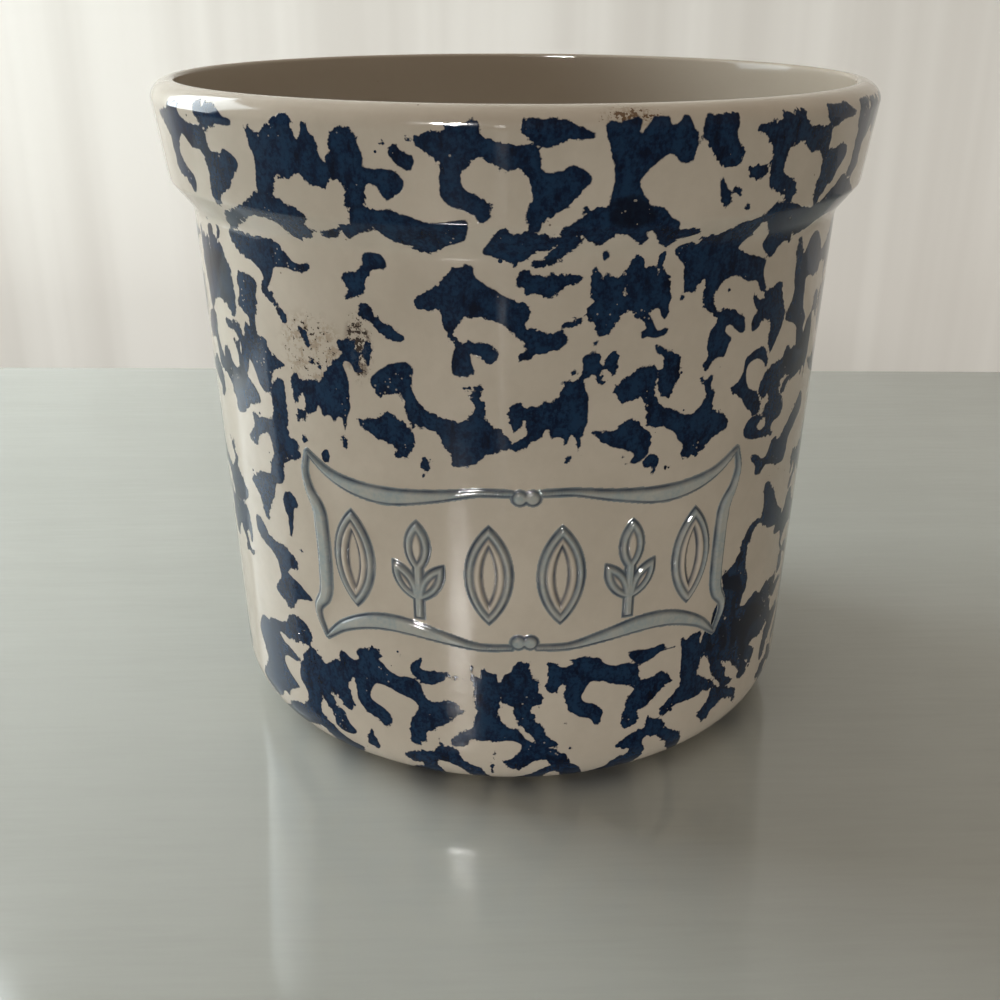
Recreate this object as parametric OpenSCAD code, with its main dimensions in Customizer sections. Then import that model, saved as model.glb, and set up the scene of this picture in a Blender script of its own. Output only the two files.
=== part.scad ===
// Butter crock: a straight-sided stoneware crock with a heavy collar rim and an applied label panel.
// The origin is the centre of the foot on the table, +Z is up and the label faces -Y.

/* [Crock] */
// Overall height, from the table to the crest of the lip
crock_h = 140; // [130:1:160]
// Diameter across the widest part of the collar
rim_d = 150.2; // [148:0.1:156]
// Diameter that the tapered wall would have at the table
base_d = 128.8; // [120:0.1:134]
// Diameter of the wall where it runs into the collar
shoulder_d = 137.2; // [134:0.1:140]
// Thickness of the wall
wall_t = 5; // [4:0.1:6]
// Thickness of the floor
floor_t = 6.8; // [5:0.1:9]

/* [Collar] */
// Height of the collar, from its lower corner to the crest of the lip
collar_h = 19.1; // [16:0.1:22]
// Diameter at the lower corner of the collar
collar_low_d = 146; // [144:0.1:148]
// Height of the sloping step under the collar
step_h = 5.6; // [4:0.1:8]
// Width of the rounded lip, from its crest to the outside of the collar
lip_w = 4.1; // [3:0.1:5]
// Height of the rounded lip
lip_h = 3.7; // [3:0.1:6]
// Diameter of the straight mouth inside the collar
mouth_d = 140.4; // [136:0.1:141]
// Depth of the straight mouth, from the crest of the lip
mouth_h = 15.5; // [10:0.5:17]

/* [Base] */
// Radius of the rounded heel
heel_r = 12.3; // [6:0.1:16]
// Radius of the hollow corner inside, between the wall and the floor
inner_corner_r = 9; // [4:0.5:11]
// Height of the dry foot
foot_h = 1.2; // [0.8:0.1:2]
// Width of the dry foot
foot_w = 8; // [5:0.5:12]

/* [Label] */
// Height of the middle of the label above the table
label_z = 54; // [50:1:60]
// How far the frame and the figures stand out of the wall
relief_h = 1; // [0.6:0.1:1.5]
// Height of each figure
figure_h = 21; // [16:0.5:23]
// Width of a leaf figure
leaf_w = 9; // [7:0.5:10]
// Distance between the middles of two figures, along the wall
figure_pitch = 13.8; // [11.5:0.1:14]

/* [Hidden] */

$fn = 96;
glaze = [0.56, 0.54, 0.49];
dry_clay = [0.66, 0.58, 0.46];
wash_blue = [0.42, 0.48, 0.55];
figure_blue = [0.50, 0.54, 0.58];

// Levels that the pieces share, from the table up
corner_z = crock_h - collar_h;
step_z = corner_z - step_h;
shoulder_z = step_z - 3.3;
base_h = 20;
floor_z = foot_h + floor_t;
lip_inner_r = 0.8;

// Radius of the outer wall at height z, and of the wall's inside
function outer_r(z) = (base_d + (shoulder_d - base_d) * z / step_z) / 2;
function inner_r(z) = outer_r(z) - wall_t;

// Points of a quarter ellipse about a centre, from one angle to another
function elliptic_arc(centre, rx, ry, from, to, steps) = [
    for (i = [0:steps])
        let (a = from + (to - from) * i / steps)
        centre + [rx * cos(a), ry * sin(a)]
];

// Points of an S curve between two heights, upright at both ends
function s_curve(low, high, steps) = [
    for (i = [0:steps])
        let (t = i / steps)
        let (ease = t * t * (3 - 2 * t))
        [low[0] + (high[0] - low[0]) * ease, low[1] + (high[1] - low[1]) * t]
];

// ---- The turned pieces ----

module crock_wall() {
    color(glaze)
    rotate_extrude()
    polygon([
        [inner_r(base_h), base_h],
        [outer_r(base_h), base_h],
        [outer_r(shoulder_z), shoulder_z],
        [inner_r(shoulder_z), shoulder_z]
    ]);
}

module crock_base() {
    heel_z = foot_h + heel_r;
    heel = elliptic_arc([outer_r(heel_z) - heel_r, heel_z], heel_r, heel_r, -90, 0, 8);
    corner_z_in = floor_z + inner_corner_r;
    corner = elliptic_arc(
        [inner_r(corner_z_in) - inner_corner_r, corner_z_in], inner_corner_r, inner_corner_r, 0, -90, 6
    );
    color(glaze)
    rotate_extrude()
    polygon(concat(
        [[0, foot_h]],
        heel,
        [[outer_r(base_h), base_h], [inner_r(base_h), base_h]],
        corner,
        [[0, floor_z]]
    ));
}

module rim_collar() {
    lip = elliptic_arc([rim_d / 2 - lip_w, crock_h - lip_h], lip_w, lip_h, 0, 90, 8);
    edge = elliptic_arc([mouth_d / 2 + lip_inner_r, crock_h - lip_inner_r], lip_inner_r, lip_inner_r, 90, 180, 4);
    throat = s_curve([inner_r(shoulder_z), shoulder_z], [mouth_d / 2, crock_h - mouth_h], 8);
    color(glaze)
    rotate_extrude()
    polygon(concat(
        [[outer_r(shoulder_z), shoulder_z], [shoulder_d / 2, step_z], [collar_low_d / 2, corner_z]],
        lip,
        edge,
        [for (i = [len(throat) - 1:-1:0]) throat[i]]
    ));
}

module foot_ring() {
    foot_r = outer_r(foot_h + heel_r) - heel_r;
    color(dry_clay)
    difference() {
        cylinder(r = foot_r, h = foot_h);
        translate([0, 0, -1])
            cylinder(r = foot_r - foot_w, h = foot_h + 2);
    }
}

// ---- The frame of the label: strips that lie on the wall ----

// A point on the wall, from its distance along the wall and above the label's middle, raised by h
function on_wall(p, h) =
    let (z = label_z + p[1])
    let (a = p[0] / outer_r(label_z) * 180 / PI)
    let (r = outer_r(z) + h)
    [r * sin(a), -r * cos(a), z];

// Smooth value between the points of a list, at a place t that counts the points
function smooth_at(list, t) =
    let (last = len(list) - 1)
    let (i = min(floor(t), last - 1))
    let (f = t - i)
    let (a = list[max(i - 1, 0)])
    let (b = list[i])
    let (c = list[i + 1])
    let (d = list[min(i + 2, last)])
    b + 0.5 * f * (c - a + f * (2 * a - 5 * b + 4 * c - d + f * (3 * (b - c) + d - a)));

// A raised strip through stations of [along, up, width], with sloping sides
module strip(stations, steps = 20) {
    last = len(stations) - 1;
    slope = 0.25;
    rings = [
        for (i = [0:steps])
            let (t = last * i / steps)
            let (s = smooth_at(stations, t))
            let (ahead = smooth_at(stations, min(t + 0.02, last)))
            let (behind = smooth_at(stations, max(t - 0.02, 0)))
            let (run = [ahead[0] - behind[0], ahead[1] - behind[1]])
            let (side = [-run[1], run[0]] / norm(run))
            let (mid = [s[0], s[1]])
            [
                on_wall(mid - side * s[2] / 2, 0),
                on_wall(mid + side * s[2] / 2, 0),
                on_wall(mid + side * s[2] * (0.5 - slope), relief_h),
                on_wall(mid - side * s[2] * (0.5 - slope), relief_h)
            ]
    ];
    points = [for (ring = rings) each ring];
    sides = [
        for (i = [0:steps - 1])
            for (k = [0:3])
                let (n = (k + 1) % 4)
                [4 * i + k, 4 * i + n, 4 * i + 4 + n, 4 * i + 4 + k]
    ];
    ends = [[3, 2, 1, 0], [4 * steps, 4 * steps + 1, 4 * steps + 2, 4 * steps + 3]];
    polyhedron(points, concat(sides, ends));
}

clasp_w = 5.4;
clasp_top_y = 16.4;
clasp_bottom_y = -14.6;
top_strip = [
    [clasp_w / 2, 17.3, 1.2], [9, 17.3, 1.4], [17, 16, 2.2], [26, 14.9, 3.2],
    [33, 15.4, 2.9], [39, 17, 1.9], [44, 19.6, 1]
];
bottom_strip = [
    [clasp_w / 2, -15.8, 1.2], [9, -15.8, 1.4], [16, -14.3, 2.4], [24, -12.8, 3.4],
    [31, -13.2, 3.2], [38, -16, 2.2], [43.4, -19.4, 1]
];
side_strip = [
    [44.9, 18.6, 1], [46.2, 16.4, 1.4], [44.9, 12.6, 2], [43, 9, 2.9], [42.5, 5, 3.1],
    [42.5, -6, 3.1], [43.4, -10.4, 2.8], [45.3, -13.2, 1.9], [45.6, -15.6, 1.4], [44.4, -18.4, 1]
];

module clasp(y) {
    height = 3;
    color(wash_blue)
    on_label(0)
    translate([-clasp_w / 2, y - height / 2])
        square([clasp_w, height]);
}

module frame_top_right() color(wash_blue) strip(top_strip);
module frame_bottom_right() color(wash_blue) strip(bottom_strip);
module frame_side_right() color(wash_blue) strip(side_strip, 30);
module frame_top_left() mirror([1, 0, 0]) frame_top_right();
module frame_bottom_left() mirror([1, 0, 0]) frame_bottom_right();
module frame_side_left() mirror([1, 0, 0]) frame_side_right();
module frame_clasp_top() clasp(clasp_top_y);
module frame_clasp_bottom() clasp(clasp_bottom_y);

// ---- The figures inside the frame ----

// Raises a flat outline out of the wall, at a distance along the wall from the label's middle
module on_label(along) {
    reach = 30;
    low = label_z - reach;
    high = label_z + reach;
    rotate([0, 0, along / outer_r(label_z) * 180 / PI])
    intersection() {
        translate([0, -outer_r(0) / 2, label_z])
            rotate([90, 0, 0])
            linear_extrude(outer_r(0))
            children();
        rotate_extrude()
        polygon([
            [outer_r(low), low], [outer_r(low) + relief_h, low],
            [outer_r(high) + relief_h, high], [outer_r(high), high]
        ]);
    }
}

// A pointed oval, drawn by two arcs
module pointed_oval(h, w) {
    r = (h * h + w * w) / (4 * w);
    intersection() {
        translate([r - w / 2, 0])
            circle(r);
        translate([w / 2 - r, 0])
            circle(r);
    }
}

module leaf(place) {
    color(figure_blue)
    on_label(place * figure_pitch)
    difference() {
        pointed_oval(figure_h, leaf_w);
        pointed_oval(figure_h * 0.58, leaf_w * 0.3);
    }
}

module sprig(place) {
    stem_w = 2;
    color(figure_blue)
    on_label(place * figure_pitch) {
        translate([0, figure_h * 0.24])
            pointed_oval(figure_h * 0.52, leaf_w * 0.55);
        for (side = [-1, 1])
            translate([side * leaf_w * 0.28, -figure_h * 0.12])
            rotate([0, 0, -side * 32])
                pointed_oval(figure_h * 0.46, leaf_w * 0.44);
        translate([-stem_w / 2, -figure_h / 2])
            square([stem_w, figure_h * 0.6]);
    }
}

module figure_leaf_1() leaf(-2.5);
module figure_sprig_2() sprig(-1.5);
module figure_leaf_3() leaf(-0.5);
module figure_leaf_4() leaf(0.5);
module figure_sprig_5() sprig(1.5);
module figure_leaf_6() leaf(2.5);

crock_wall();
crock_base();
rim_collar();
foot_ring();
frame_top_left();
frame_top_right();
frame_bottom_left();
frame_bottom_right();
frame_side_left();
frame_side_right();
frame_clasp_top();
frame_clasp_bottom();
figure_leaf_1();
figure_sprig_2();
figure_leaf_3();
figure_leaf_4();
figure_sprig_5();
figure_leaf_6();
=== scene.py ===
"""A stoneware butter crock: a turned body, sponged blue under clear glaze, and a washed relief label.

The body is turned by a Geometry Nodes wheel from one profile for each piece. The frame and the figures
of the label are raised patches that a second tree lays on the tapered wall. The sponge pattern is one
small set of dabs, repeated in rows round the crock.
"""

import math

import bpy
import numpy as np
from mathutils import Matrix, Vector


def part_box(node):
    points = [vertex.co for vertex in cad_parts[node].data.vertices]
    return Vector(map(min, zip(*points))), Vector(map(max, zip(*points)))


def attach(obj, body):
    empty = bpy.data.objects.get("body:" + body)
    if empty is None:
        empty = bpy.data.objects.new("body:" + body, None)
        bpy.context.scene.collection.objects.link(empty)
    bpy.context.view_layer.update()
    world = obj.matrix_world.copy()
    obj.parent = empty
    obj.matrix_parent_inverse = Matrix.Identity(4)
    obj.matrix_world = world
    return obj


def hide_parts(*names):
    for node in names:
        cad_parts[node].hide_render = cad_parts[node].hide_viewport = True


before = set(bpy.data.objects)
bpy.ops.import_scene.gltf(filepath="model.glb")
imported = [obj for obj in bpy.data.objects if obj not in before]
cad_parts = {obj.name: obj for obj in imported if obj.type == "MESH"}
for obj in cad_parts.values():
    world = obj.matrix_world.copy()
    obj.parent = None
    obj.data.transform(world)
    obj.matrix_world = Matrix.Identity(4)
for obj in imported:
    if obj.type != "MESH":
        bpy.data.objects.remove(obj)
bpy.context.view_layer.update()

MM = 0.001
TURN = 2 * math.pi

# ---------------------------------------------------------------- sizes, in millimetres


LOWEST = 0
HIGHEST = 1


def corner_mm(node, which):
    """The lowest or the highest corner of a CAD node's box, in millimetres."""
    return [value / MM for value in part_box(node)[which]]


CREST_Z = corner_mm("rim_collar", HIGHEST)[2]
SHOULDER_Z = corner_mm("rim_collar", LOWEST)[2]
WALL_LOW_Z = corner_mm("crock_wall", LOWEST)[2]
FOOT_TOP_Z = corner_mm("crock_base", LOWEST)[2]
RIM_R = corner_mm("rim_collar", HIGHEST)[0]
FOOT_R = corner_mm("foot_ring", HIGHEST)[0]
WALL_TOP_R = corner_mm("crock_wall", HIGHEST)[0]
WALL_LOW_R = corner_mm("crock_base", HIGHEST)[0]

# T is a thickness, W a width, H a height and R a radius
WALL_T = 5
FLOOR_T = 6.8
FOOT_W = 8
HEEL_R = 12.3
INNER_CORNER_R = 9

COLLAR_H = 19.1
COLLAR_LOW_R = 73
STEP_H = 5.6
STEP_R = 68.6
STEP_SOFT_R = 4.5
COLLAR_SOFT_R = 2.2
LIP_W = 4.1
LIP_H = 3.7
MOUTH_R = 70.2
MOUTH_EDGE_R = 0.8
MOUTH_H = 15.5
FOOT_SOFT_R = 0.35

LABEL_Z = 54
RELIEF_H = 0.75
FIGURE_H = 21
LEAF_W = 9
FIGURE_PITCH = 13.8

# One millimetre along the decoration is one millimetre of arc at this radius
ROUND_R = 68
ROUND = TURN * ROUND_R

# How finely the pieces are turned: segments round, and steps along a profile
SEGMENTS = 640
FOOT_SEGMENTS = 320
FINE_STEP = 0.68
COARSE_STEP = 3
HEEL_STEPS = 26
HOLLOW_STEPS = 12
BEND_STEPS = 6
LIP_STEPS = 14
EDGE_STEPS = 5
THROAT_STEPS = 10
SOFT_STEPS = 4

# The potter's hand: how far in all a turned wall sways in and out, in metres
UNEVENNESS = 0.00035


def wall_r(z):
    """Radius of the tapered outer wall at height z."""
    slope = (WALL_TOP_R - WALL_LOW_R) / (SHOULDER_Z - WALL_LOW_Z)
    return WALL_LOW_R + slope * (z - WALL_LOW_Z)


WALL_SLOPE = wall_r(1) - wall_r(0)

# ---------------------------------------------------------------- small makers of nodes


def fill(tree, made, inputs):
    """Fills a node's inputs with links or plain values."""
    for key, value in inputs.items():
        if isinstance(value, bpy.types.NodeSocket):
            tree.links.new(value, made.inputs[key])
        else:
            made.inputs[key].default_value = value
    return made


def put(tree, kind, inputs=(), **settings):
    """Adds a node to a tree, sets its properties and fills its inputs."""
    made = tree.nodes.new(kind)
    for name, value in settings.items():
        setattr(made, name, value)
    return fill(tree, made, dict(inputs))


def calc(tree, operation, *values):
    """A Math node; the values are links or numbers."""
    return put(tree, "ShaderNodeMath", dict(enumerate(values)), operation=operation).outputs[0]


def ramp(tree, value, low, high, start=0.0, end=1.0):
    """A soft step of value, from start at low to end at high."""
    made = put(
        tree,
        "ShaderNodeMapRange",
        {"Value": value, "From Min": low, "From Max": high, "To Min": start, "To Max": end},
        interpolation_type="SMOOTHSTEP",
    )
    return made.outputs["Result"]


def blend(tree, factor, a, b):
    """Colour a where the factor is 0, colour b where it is 1."""
    made = put(tree, "ShaderNodeMix", data_type="RGBA", clamp_factor=True)
    for key, value in ((0, factor), (6, a), (7, b)):
        if isinstance(value, bpy.types.NodeSocket):
            tree.links.new(value, made.inputs[key])
        elif key == 0:
            made.inputs[key].default_value = value
        else:
            made.inputs[key].default_value = (*value, 1)
    return made.outputs[2]


def noise(tree, place, size, detail, roughness, seed):
    """Noise of a given size in millimetres, from about 0 to 1."""
    moved = put(tree, "ShaderNodeVectorMath", {0: place, 1: (seed, seed * 1.7, -seed)}, operation="ADD")
    made = put(
        tree,
        "ShaderNodeTexNoise",
        {"Vector": moved.outputs[0], "Scale": 1 / size, "Detail": detail, "Roughness": roughness},
    )
    return made.outputs["Fac"]


def spots(tree, place, size, seed):
    """Distance to the nearest of scattered points, in cells of a given size in millimetres."""
    moved = put(tree, "ShaderNodeVectorMath", {0: place, 1: (seed, -seed, seed * 0.6)}, operation="ADD")
    made = put(tree, "ShaderNodeTexVoronoi", {"Vector": moved.outputs[0], "Scale": 1 / size})
    return made.outputs["Distance"]


def scaled(tree, value, factor):
    """A value times a number or another value."""
    return calc(tree, "MULTIPLY", value, factor)


def surface(result, **values):
    """Links values to a group's outputs of the same names."""
    tree = result.id_data
    for name, value in values.items():
        tree.links.new(value, result.inputs[name.title()])


def new_group(name, inputs, outputs, kind="ShaderNodeTree"):
    """A node group with named sockets; returns the tree, its input node and its output node."""
    tree = bpy.data.node_groups.new(name, kind)
    for direction, sockets in (("INPUT", inputs), ("OUTPUT", outputs)):
        for label, (socket_type, default) in sockets.items():
            socket = tree.interface.new_socket(label, in_out=direction, socket_type=socket_type)
            if default is not None:
                socket.default_value = default
    return tree, tree.nodes.new("NodeGroupInput"), tree.nodes.new("NodeGroupOutput")


def use_group(tree, group, inputs):
    """Places a shader group in a material."""
    made = tree.nodes.new("ShaderNodeGroup")
    made.node_tree = group
    return fill(tree, made, inputs)


FLOAT = "NodeSocketFloat"
VECTOR = "NodeSocketVector"
COLOUR = "NodeSocketColor"

# ---------------------------------------------------------------- glaze and wash, as shader groups


def make_glaze_ground():
    """The warm grey glaze: slow clouds, fine mottling, iron specks and an uneven surface."""
    tree, given, result = new_group(
        "glaze_ground",
        {
            "Place": (VECTOR, None),
            "Light": (COLOUR, (0.56, 0.505, 0.43, 1)),
            "Dark": (COLOUR, (0.49, 0.44, 0.37, 1)),
            "Iron": (COLOUR, (0.09, 0.06, 0.035, 1)),
        },
        {"Color": (COLOUR, None), "Roughness": (FLOAT, None), "Height": (FLOAT, None)},
    )
    place = given.outputs["Place"]
    clouds = noise(tree, place, size=26, detail=3, roughness=0.55, seed=11)
    mottle = noise(tree, place, size=2.6, detail=3, roughness=0.6, seed=5)
    tone = calc(tree, "ADD", scaled(tree, clouds, 0.75), scaled(tree, mottle, 0.25))
    body = blend(tree, ramp(tree, tone, 0.3, 0.68), given.outputs["Dark"], given.outputs["Light"])

    near = spots(tree, place, size=4.4, seed=31)
    rare = ramp(tree, noise(tree, place, size=9, detail=1, roughness=0.5, seed=77), 0.56, 0.62)
    speck = scaled(tree, ramp(tree, near, 0.035, 0.06, 1, 0), rare)
    colour = blend(tree, scaled(tree, speck, 0.75), body, given.outputs["Iron"])

    smears = noise(tree, place, size=7, detail=3, roughness=0.6, seed=3)
    wave = scaled(tree, noise(tree, place, size=9, detail=2, roughness=0.5, seed=21), 0.05)
    peel = scaled(tree, noise(tree, place, size=1.4, detail=2, roughness=0.5, seed=9), 0.006)
    surface(
        result,
        color=colour,
        roughness=ramp(tree, smears, 0.3, 0.7, 0.05, 0.12),
        height=calc(tree, "ADD", wave, peel),
    )
    return tree


def torn_edge(tree, place):
    """How far the sponge tore or spread the edge of a dab, either way, in millimetres."""
    torn = calc(tree, "SUBTRACT", noise(tree, place, size=2.4, detail=3, roughness=0.6, seed=2), 0.5)
    nibbled = calc(tree, "SUBTRACT", noise(tree, place, size=1.2, detail=2, roughness=0.6, seed=8), 0.5)
    torn = scaled(tree, torn, 2.2)
    where = noise(tree, place, size=11, detail=1, roughness=0.5, seed=14)
    both = calc(tree, "ADD", torn, scaled(tree, nibbled, 1.7))
    return torn, scaled(tree, both, ramp(tree, where, 0.36, 0.56, 0.25, 1.0))


def pinholes(tree, place):
    """Tiny bubbles in the blue, in some areas only."""
    where = noise(tree, place, size=6, detail=2, roughness=0.5, seed=40)
    reach = scaled(tree, ramp(tree, where, 0.55, 0.68), 0.2)
    return calc(tree, "LESS_THAN", spots(tree, place, size=1.05, seed=4), reach)


def sprayed_drops(tree, place, inside):
    """Stray droplets close outside the dabs, in some areas only."""
    where = noise(tree, place, size=14, detail=1, roughness=0.5, seed=52)
    sprayed = ramp(tree, where, 0.55, 0.68)
    close = ramp(tree, inside, -2.4, -0.4)
    reach = scaled(tree, scaled(tree, close, sprayed), 0.17)
    return calc(tree, "LESS_THAN", spots(tree, place, size=2.6, seed=19), reach)


def make_sponge_blue():
    """Sponged cobalt: ragged edges round the dabs, pinholes, stray droplets and mottled depth."""
    tree, given, result = new_group(
        "sponge_blue",
        {
            "Place": (VECTOR, None),
            "Inside": (FLOAT, -3.0),
            "Overlap": (FLOAT, -3.0),
            "Thin": (COLOUR, (0.007, 0.030, 0.076, 1)),
            "Full": (COLOUR, (0.001, 0.009, 0.034, 1)),
            "Pooled": (COLOUR, (0.0002, 0.002, 0.011, 1)),
        },
        {"Mask": (FLOAT, None), "Color": (COLOUR, None), "Height": (FLOAT, None)},
    )
    place = given.outputs["Place"]
    inside = given.outputs["Inside"]
    torn, edge = torn_edge(tree, place)
    depth = calc(tree, "ADD", inside, edge)
    kept = calc(tree, "SUBTRACT", 1, scaled(tree, pinholes(tree, place), 0.5))
    body = scaled(tree, ramp(tree, depth, -0.13, 0.13), kept)
    mask = calc(tree, "MAXIMUM", body, sprayed_drops(tree, place, inside))

    drawn = put(tree, "ShaderNodeMapping", {"Vector": place, "Scale": (1.0, 1.0, 0.55)}).outputs[0]
    cloudy = noise(tree, drawn, size=2.4, detail=4, roughness=0.65, seed=33)
    fine = noise(tree, place, size=0.7, detail=2, roughness=0.6, seed=60)
    tone = calc(tree, "ADD", scaled(tree, cloudy, 0.6), scaled(tree, fine, 0.4))
    colour = blend(tree, ramp(tree, tone, 0.41, 0.6), given.outputs["Full"], given.outputs["Thin"])
    colour = blend(tree, ramp(tree, depth, 0.15, 0.9, 0.55, 0.0), colour, given.outputs["Full"])

    lapped = calc(tree, "ADD", given.outputs["Overlap"], scaled(tree, torn, 0.6))
    dark = scaled(tree, ramp(tree, lapped, -0.4, 0.8), 0.8)
    clots = scaled(tree, ramp(tree, cloudy, 0.44, 0.3), 0.7)
    colour = blend(tree, calc(tree, "MAXIMUM", dark, clots), colour, given.outputs["Pooled"])
    thick = calc(tree, "ADD", mask, scaled(tree, tone, 0.5))
    surface(result, mask=mask, color=colour, height=scaled(tree, thick, 0.035))
    return tree


def make_wash():
    """Thin blue wash wiped over the relief: a film on top, and dark lines where it pooled."""
    tree, given, result = new_group(
        "blue_wash",
        {
            "Place": (VECTOR, None),
            "Ground": (COLOUR, None),
            "Film": (FLOAT, 0.0),
            "Pooled": (FLOAT, 0.0),
            "Film Color": (COLOUR, (0.38, 0.41, 0.41, 1)),
            "Line Color": (COLOUR, (0.045, 0.072, 0.125, 1)),
        },
        {"Color": (COLOUR, None)},
    )
    place = given.outputs["Place"]
    wiped = noise(tree, place, size=5, detail=3, roughness=0.6, seed=71)
    grain = noise(tree, place, size=0.8, detail=2, roughness=0.6, seed=73)
    uneven = noise(tree, place, size=4, detail=2, roughness=0.5, seed=75)
    film = scaled(tree, given.outputs["Film"], ramp(tree, wiped, 0.3, 0.7, 0.6, 1.0))
    film = scaled(tree, film, ramp(tree, grain, 0.3, 0.7, 0.75, 1.0))
    pooled = scaled(tree, given.outputs["Pooled"], ramp(tree, uneven, 0.3, 0.7, 0.75, 1.0))
    colour = blend(tree, film, given.outputs["Ground"], given.outputs["Film Color"])
    surface(result, color=blend(tree, pooled, colour, given.outputs["Line Color"]))
    return tree


def make_soiling():
    """Baked-on brown residue inside one soft patch, broken up into smears and dark crumbs."""
    tree, given, result = new_group(
        "soiling",
        {
            "Place": (VECTOR, None),
            "Ground": (COLOUR, None),
            "Centre": (VECTOR, (0, 0, 0)),
            "Reach": (VECTOR, (10, 10, 10)),
            "Smear Color": (COLOUR, (0.25, 0.17, 0.10, 1)),
            "Crumb Color": (COLOUR, (0.035, 0.022, 0.015, 1)),
            "Smear": (FLOAT, 0.5),
            "Crumbs": (FLOAT, 0.12),
        },
        {"Color": (COLOUR, None), "Mask": (FLOAT, None)},
    )
    place = given.outputs["Place"]
    off = put(tree, "ShaderNodeVectorMath", {0: place, 1: given.outputs["Centre"]}, operation="SUBTRACT")
    share = {0: off.outputs[0], 1: given.outputs["Reach"]}
    part = put(tree, "ShaderNodeVectorMath", share, operation="DIVIDE")
    far = put(tree, "ShaderNodeVectorMath", {0: part.outputs[0]}, operation="LENGTH").outputs["Value"]
    zone = ramp(tree, far, 0.45, 1.0, 1, 0)

    broken = noise(tree, place, size=2.2, detail=4, roughness=0.75, seed=91)
    smear = scaled(tree, ramp(tree, broken, 0.46, 0.58), zone)
    tiny = noise(tree, place, size=1.0, detail=3, roughness=0.7, seed=95)
    few = calc(tree, "SUBTRACT", 0.72, scaled(tree, zone, given.outputs["Crumbs"]))
    over = calc(tree, "SUBTRACT", tiny, few)
    crumb = scaled(tree, ramp(tree, over, 0.0, 0.03), calc(tree, "GREATER_THAN", zone, 0.02))

    faint = scaled(tree, smear, given.outputs["Smear"])
    colour = blend(tree, faint, given.outputs["Ground"], given.outputs["Smear Color"])
    colour = blend(tree, crumb, colour, given.outputs["Crumb Color"])
    surface(result, color=colour, mask=calc(tree, "MAXIMUM", smear, crumb))
    return tree


GLAZE = make_glaze_ground()
SPONGE = make_sponge_blue()
WASH = make_wash()
SOILING = make_soiling()

# ---------------------------------------------------------------- materials


def new_material(name):
    """An empty material with a Principled shader; returns it, its tree, the shader and places in mm."""
    material = bpy.data.materials.new(name)
    material.use_nodes = True
    tree = material.node_tree
    tree.nodes.clear()
    shader = tree.nodes.new("ShaderNodeBsdfPrincipled")
    output = tree.nodes.new("ShaderNodeOutputMaterial")
    tree.links.new(shader.outputs[0], output.inputs[0])
    coords = tree.nodes.new("ShaderNodeTexCoord")
    place = put(
        tree, "ShaderNodeVectorMath", {0: coords.outputs["Object"], 3: 1 / MM}, operation="SCALE"
    ).outputs[0]
    return material, tree, shader, place


def value_of(tree, name):
    """A number stored on the mesh."""
    made = tree.nodes.new("ShaderNodeAttribute")
    made.attribute_name = name
    return made.outputs["Fac"]


def bump(tree, height, shader):
    """Feeds a height in millimetres to the shader's normal."""
    made = put(tree, "ShaderNodeBump", {"Height": height, "Strength": 1.0, "Distance": MM})
    tree.links.new(made.outputs[0], shader.inputs["Normal"])


def gloss(shader):
    """The clear glaze coat that every glazed surface shares."""
    shader.inputs["IOR"].default_value = 1.42
    shader.inputs["Specular IOR Level"].default_value = 0.25


def on_the_outside(along, z, radius=None):
    """A place on the outside of the crock in millimetres: on the wall, or at a given radius."""
    angle = along / ROUND_R
    radius = radius or wall_r(z)
    return (radius * math.sin(angle), -radius * math.cos(angle), z)


# Marks of use: pale smears and dark baked-on crumbs on the upper left, and tan wear at the lip
MARKS = {
    "smeared": {"Centre": on_the_outside(-42, 95.5), "Reach": (11, 9, 9)},
    "baked": {
        "Centre": on_the_outside(-31.2, 97.5), "Reach": (3.4, 5, 8),
        "Smear": 0.85, "Smear Color": (0.11, 0.07, 0.045, 1), "Crumbs": 0.22,
    },
    "worn": {
        "Centre": on_the_outside(14, 138, 73), "Reach": (8, 4, 2.2),
        "Crumbs": 0.2, "Crumb Color": (0.15, 0.09, 0.05, 1),
    },
}
# Painted shade: the inside glaze is made this darker grey to stand for the shade inside the crock
INSIDE_SHADED_GREY = (0.36, 0.31, 0.25)


def crock_glaze():
    """The body's finish: grey glaze, sponged blue outside, plain inside with painted shade that darkens
    it, and a few marks of use.
    """
    material, tree, shader, place = new_material("sponged_glaze")
    ground = use_group(tree, GLAZE, {"Place": place})
    # Painted shade: the inside of the crock is blended most of the way to the darker grey
    within = scaled(tree, value_of(tree, "within"), 0.85)
    colour = blend(tree, within, ground.outputs["Color"], INSIDE_SHADED_GREY)
    masks = {}
    for mark, values in MARKS.items():
        soiled = use_group(tree, SOILING, {"Place": place, "Ground": colour, **values})
        colour = soiled.outputs["Color"]
        masks[mark] = soiled.outputs["Mask"]
    blue = use_group(tree, SPONGE, {
        "Place": place, "Inside": value_of(tree, "sponge"), "Overlap": value_of(tree, "sponge_lap"),
    })
    colour = blend(tree, blue.outputs["Mask"], colour, blue.outputs["Color"])
    tree.links.new(colour, shader.inputs["Base Color"])
    dull = scaled(tree, masks["baked"], 0.25)
    tree.links.new(calc(tree, "ADD", ground.outputs["Roughness"], dull), shader.inputs["Roughness"])
    bump(tree, calc(tree, "ADD", ground.outputs["Height"], blue.outputs["Height"]), shader)
    gloss(shader)
    return material


def label_glaze(name, film_colour, line_colour):
    """The relief's finish: the same glaze with blue wash in its hollows."""
    material, tree, shader, place = new_material(name)
    ground = use_group(tree, GLAZE, {"Place": place})
    wash = use_group(tree, WASH, {
        "Place": place,
        "Ground": ground.outputs["Color"],
        "Film": value_of(tree, "film"),
        "Pooled": value_of(tree, "pool"),
        "Film Color": (*film_colour, 1),
        "Line Color": (*line_colour, 1),
    })
    tree.links.new(wash.outputs[0], shader.inputs["Base Color"])
    tree.links.new(ground.outputs["Roughness"], shader.inputs["Roughness"])
    bump(tree, ground.outputs["Height"], shader)
    gloss(shader)
    return material


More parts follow.
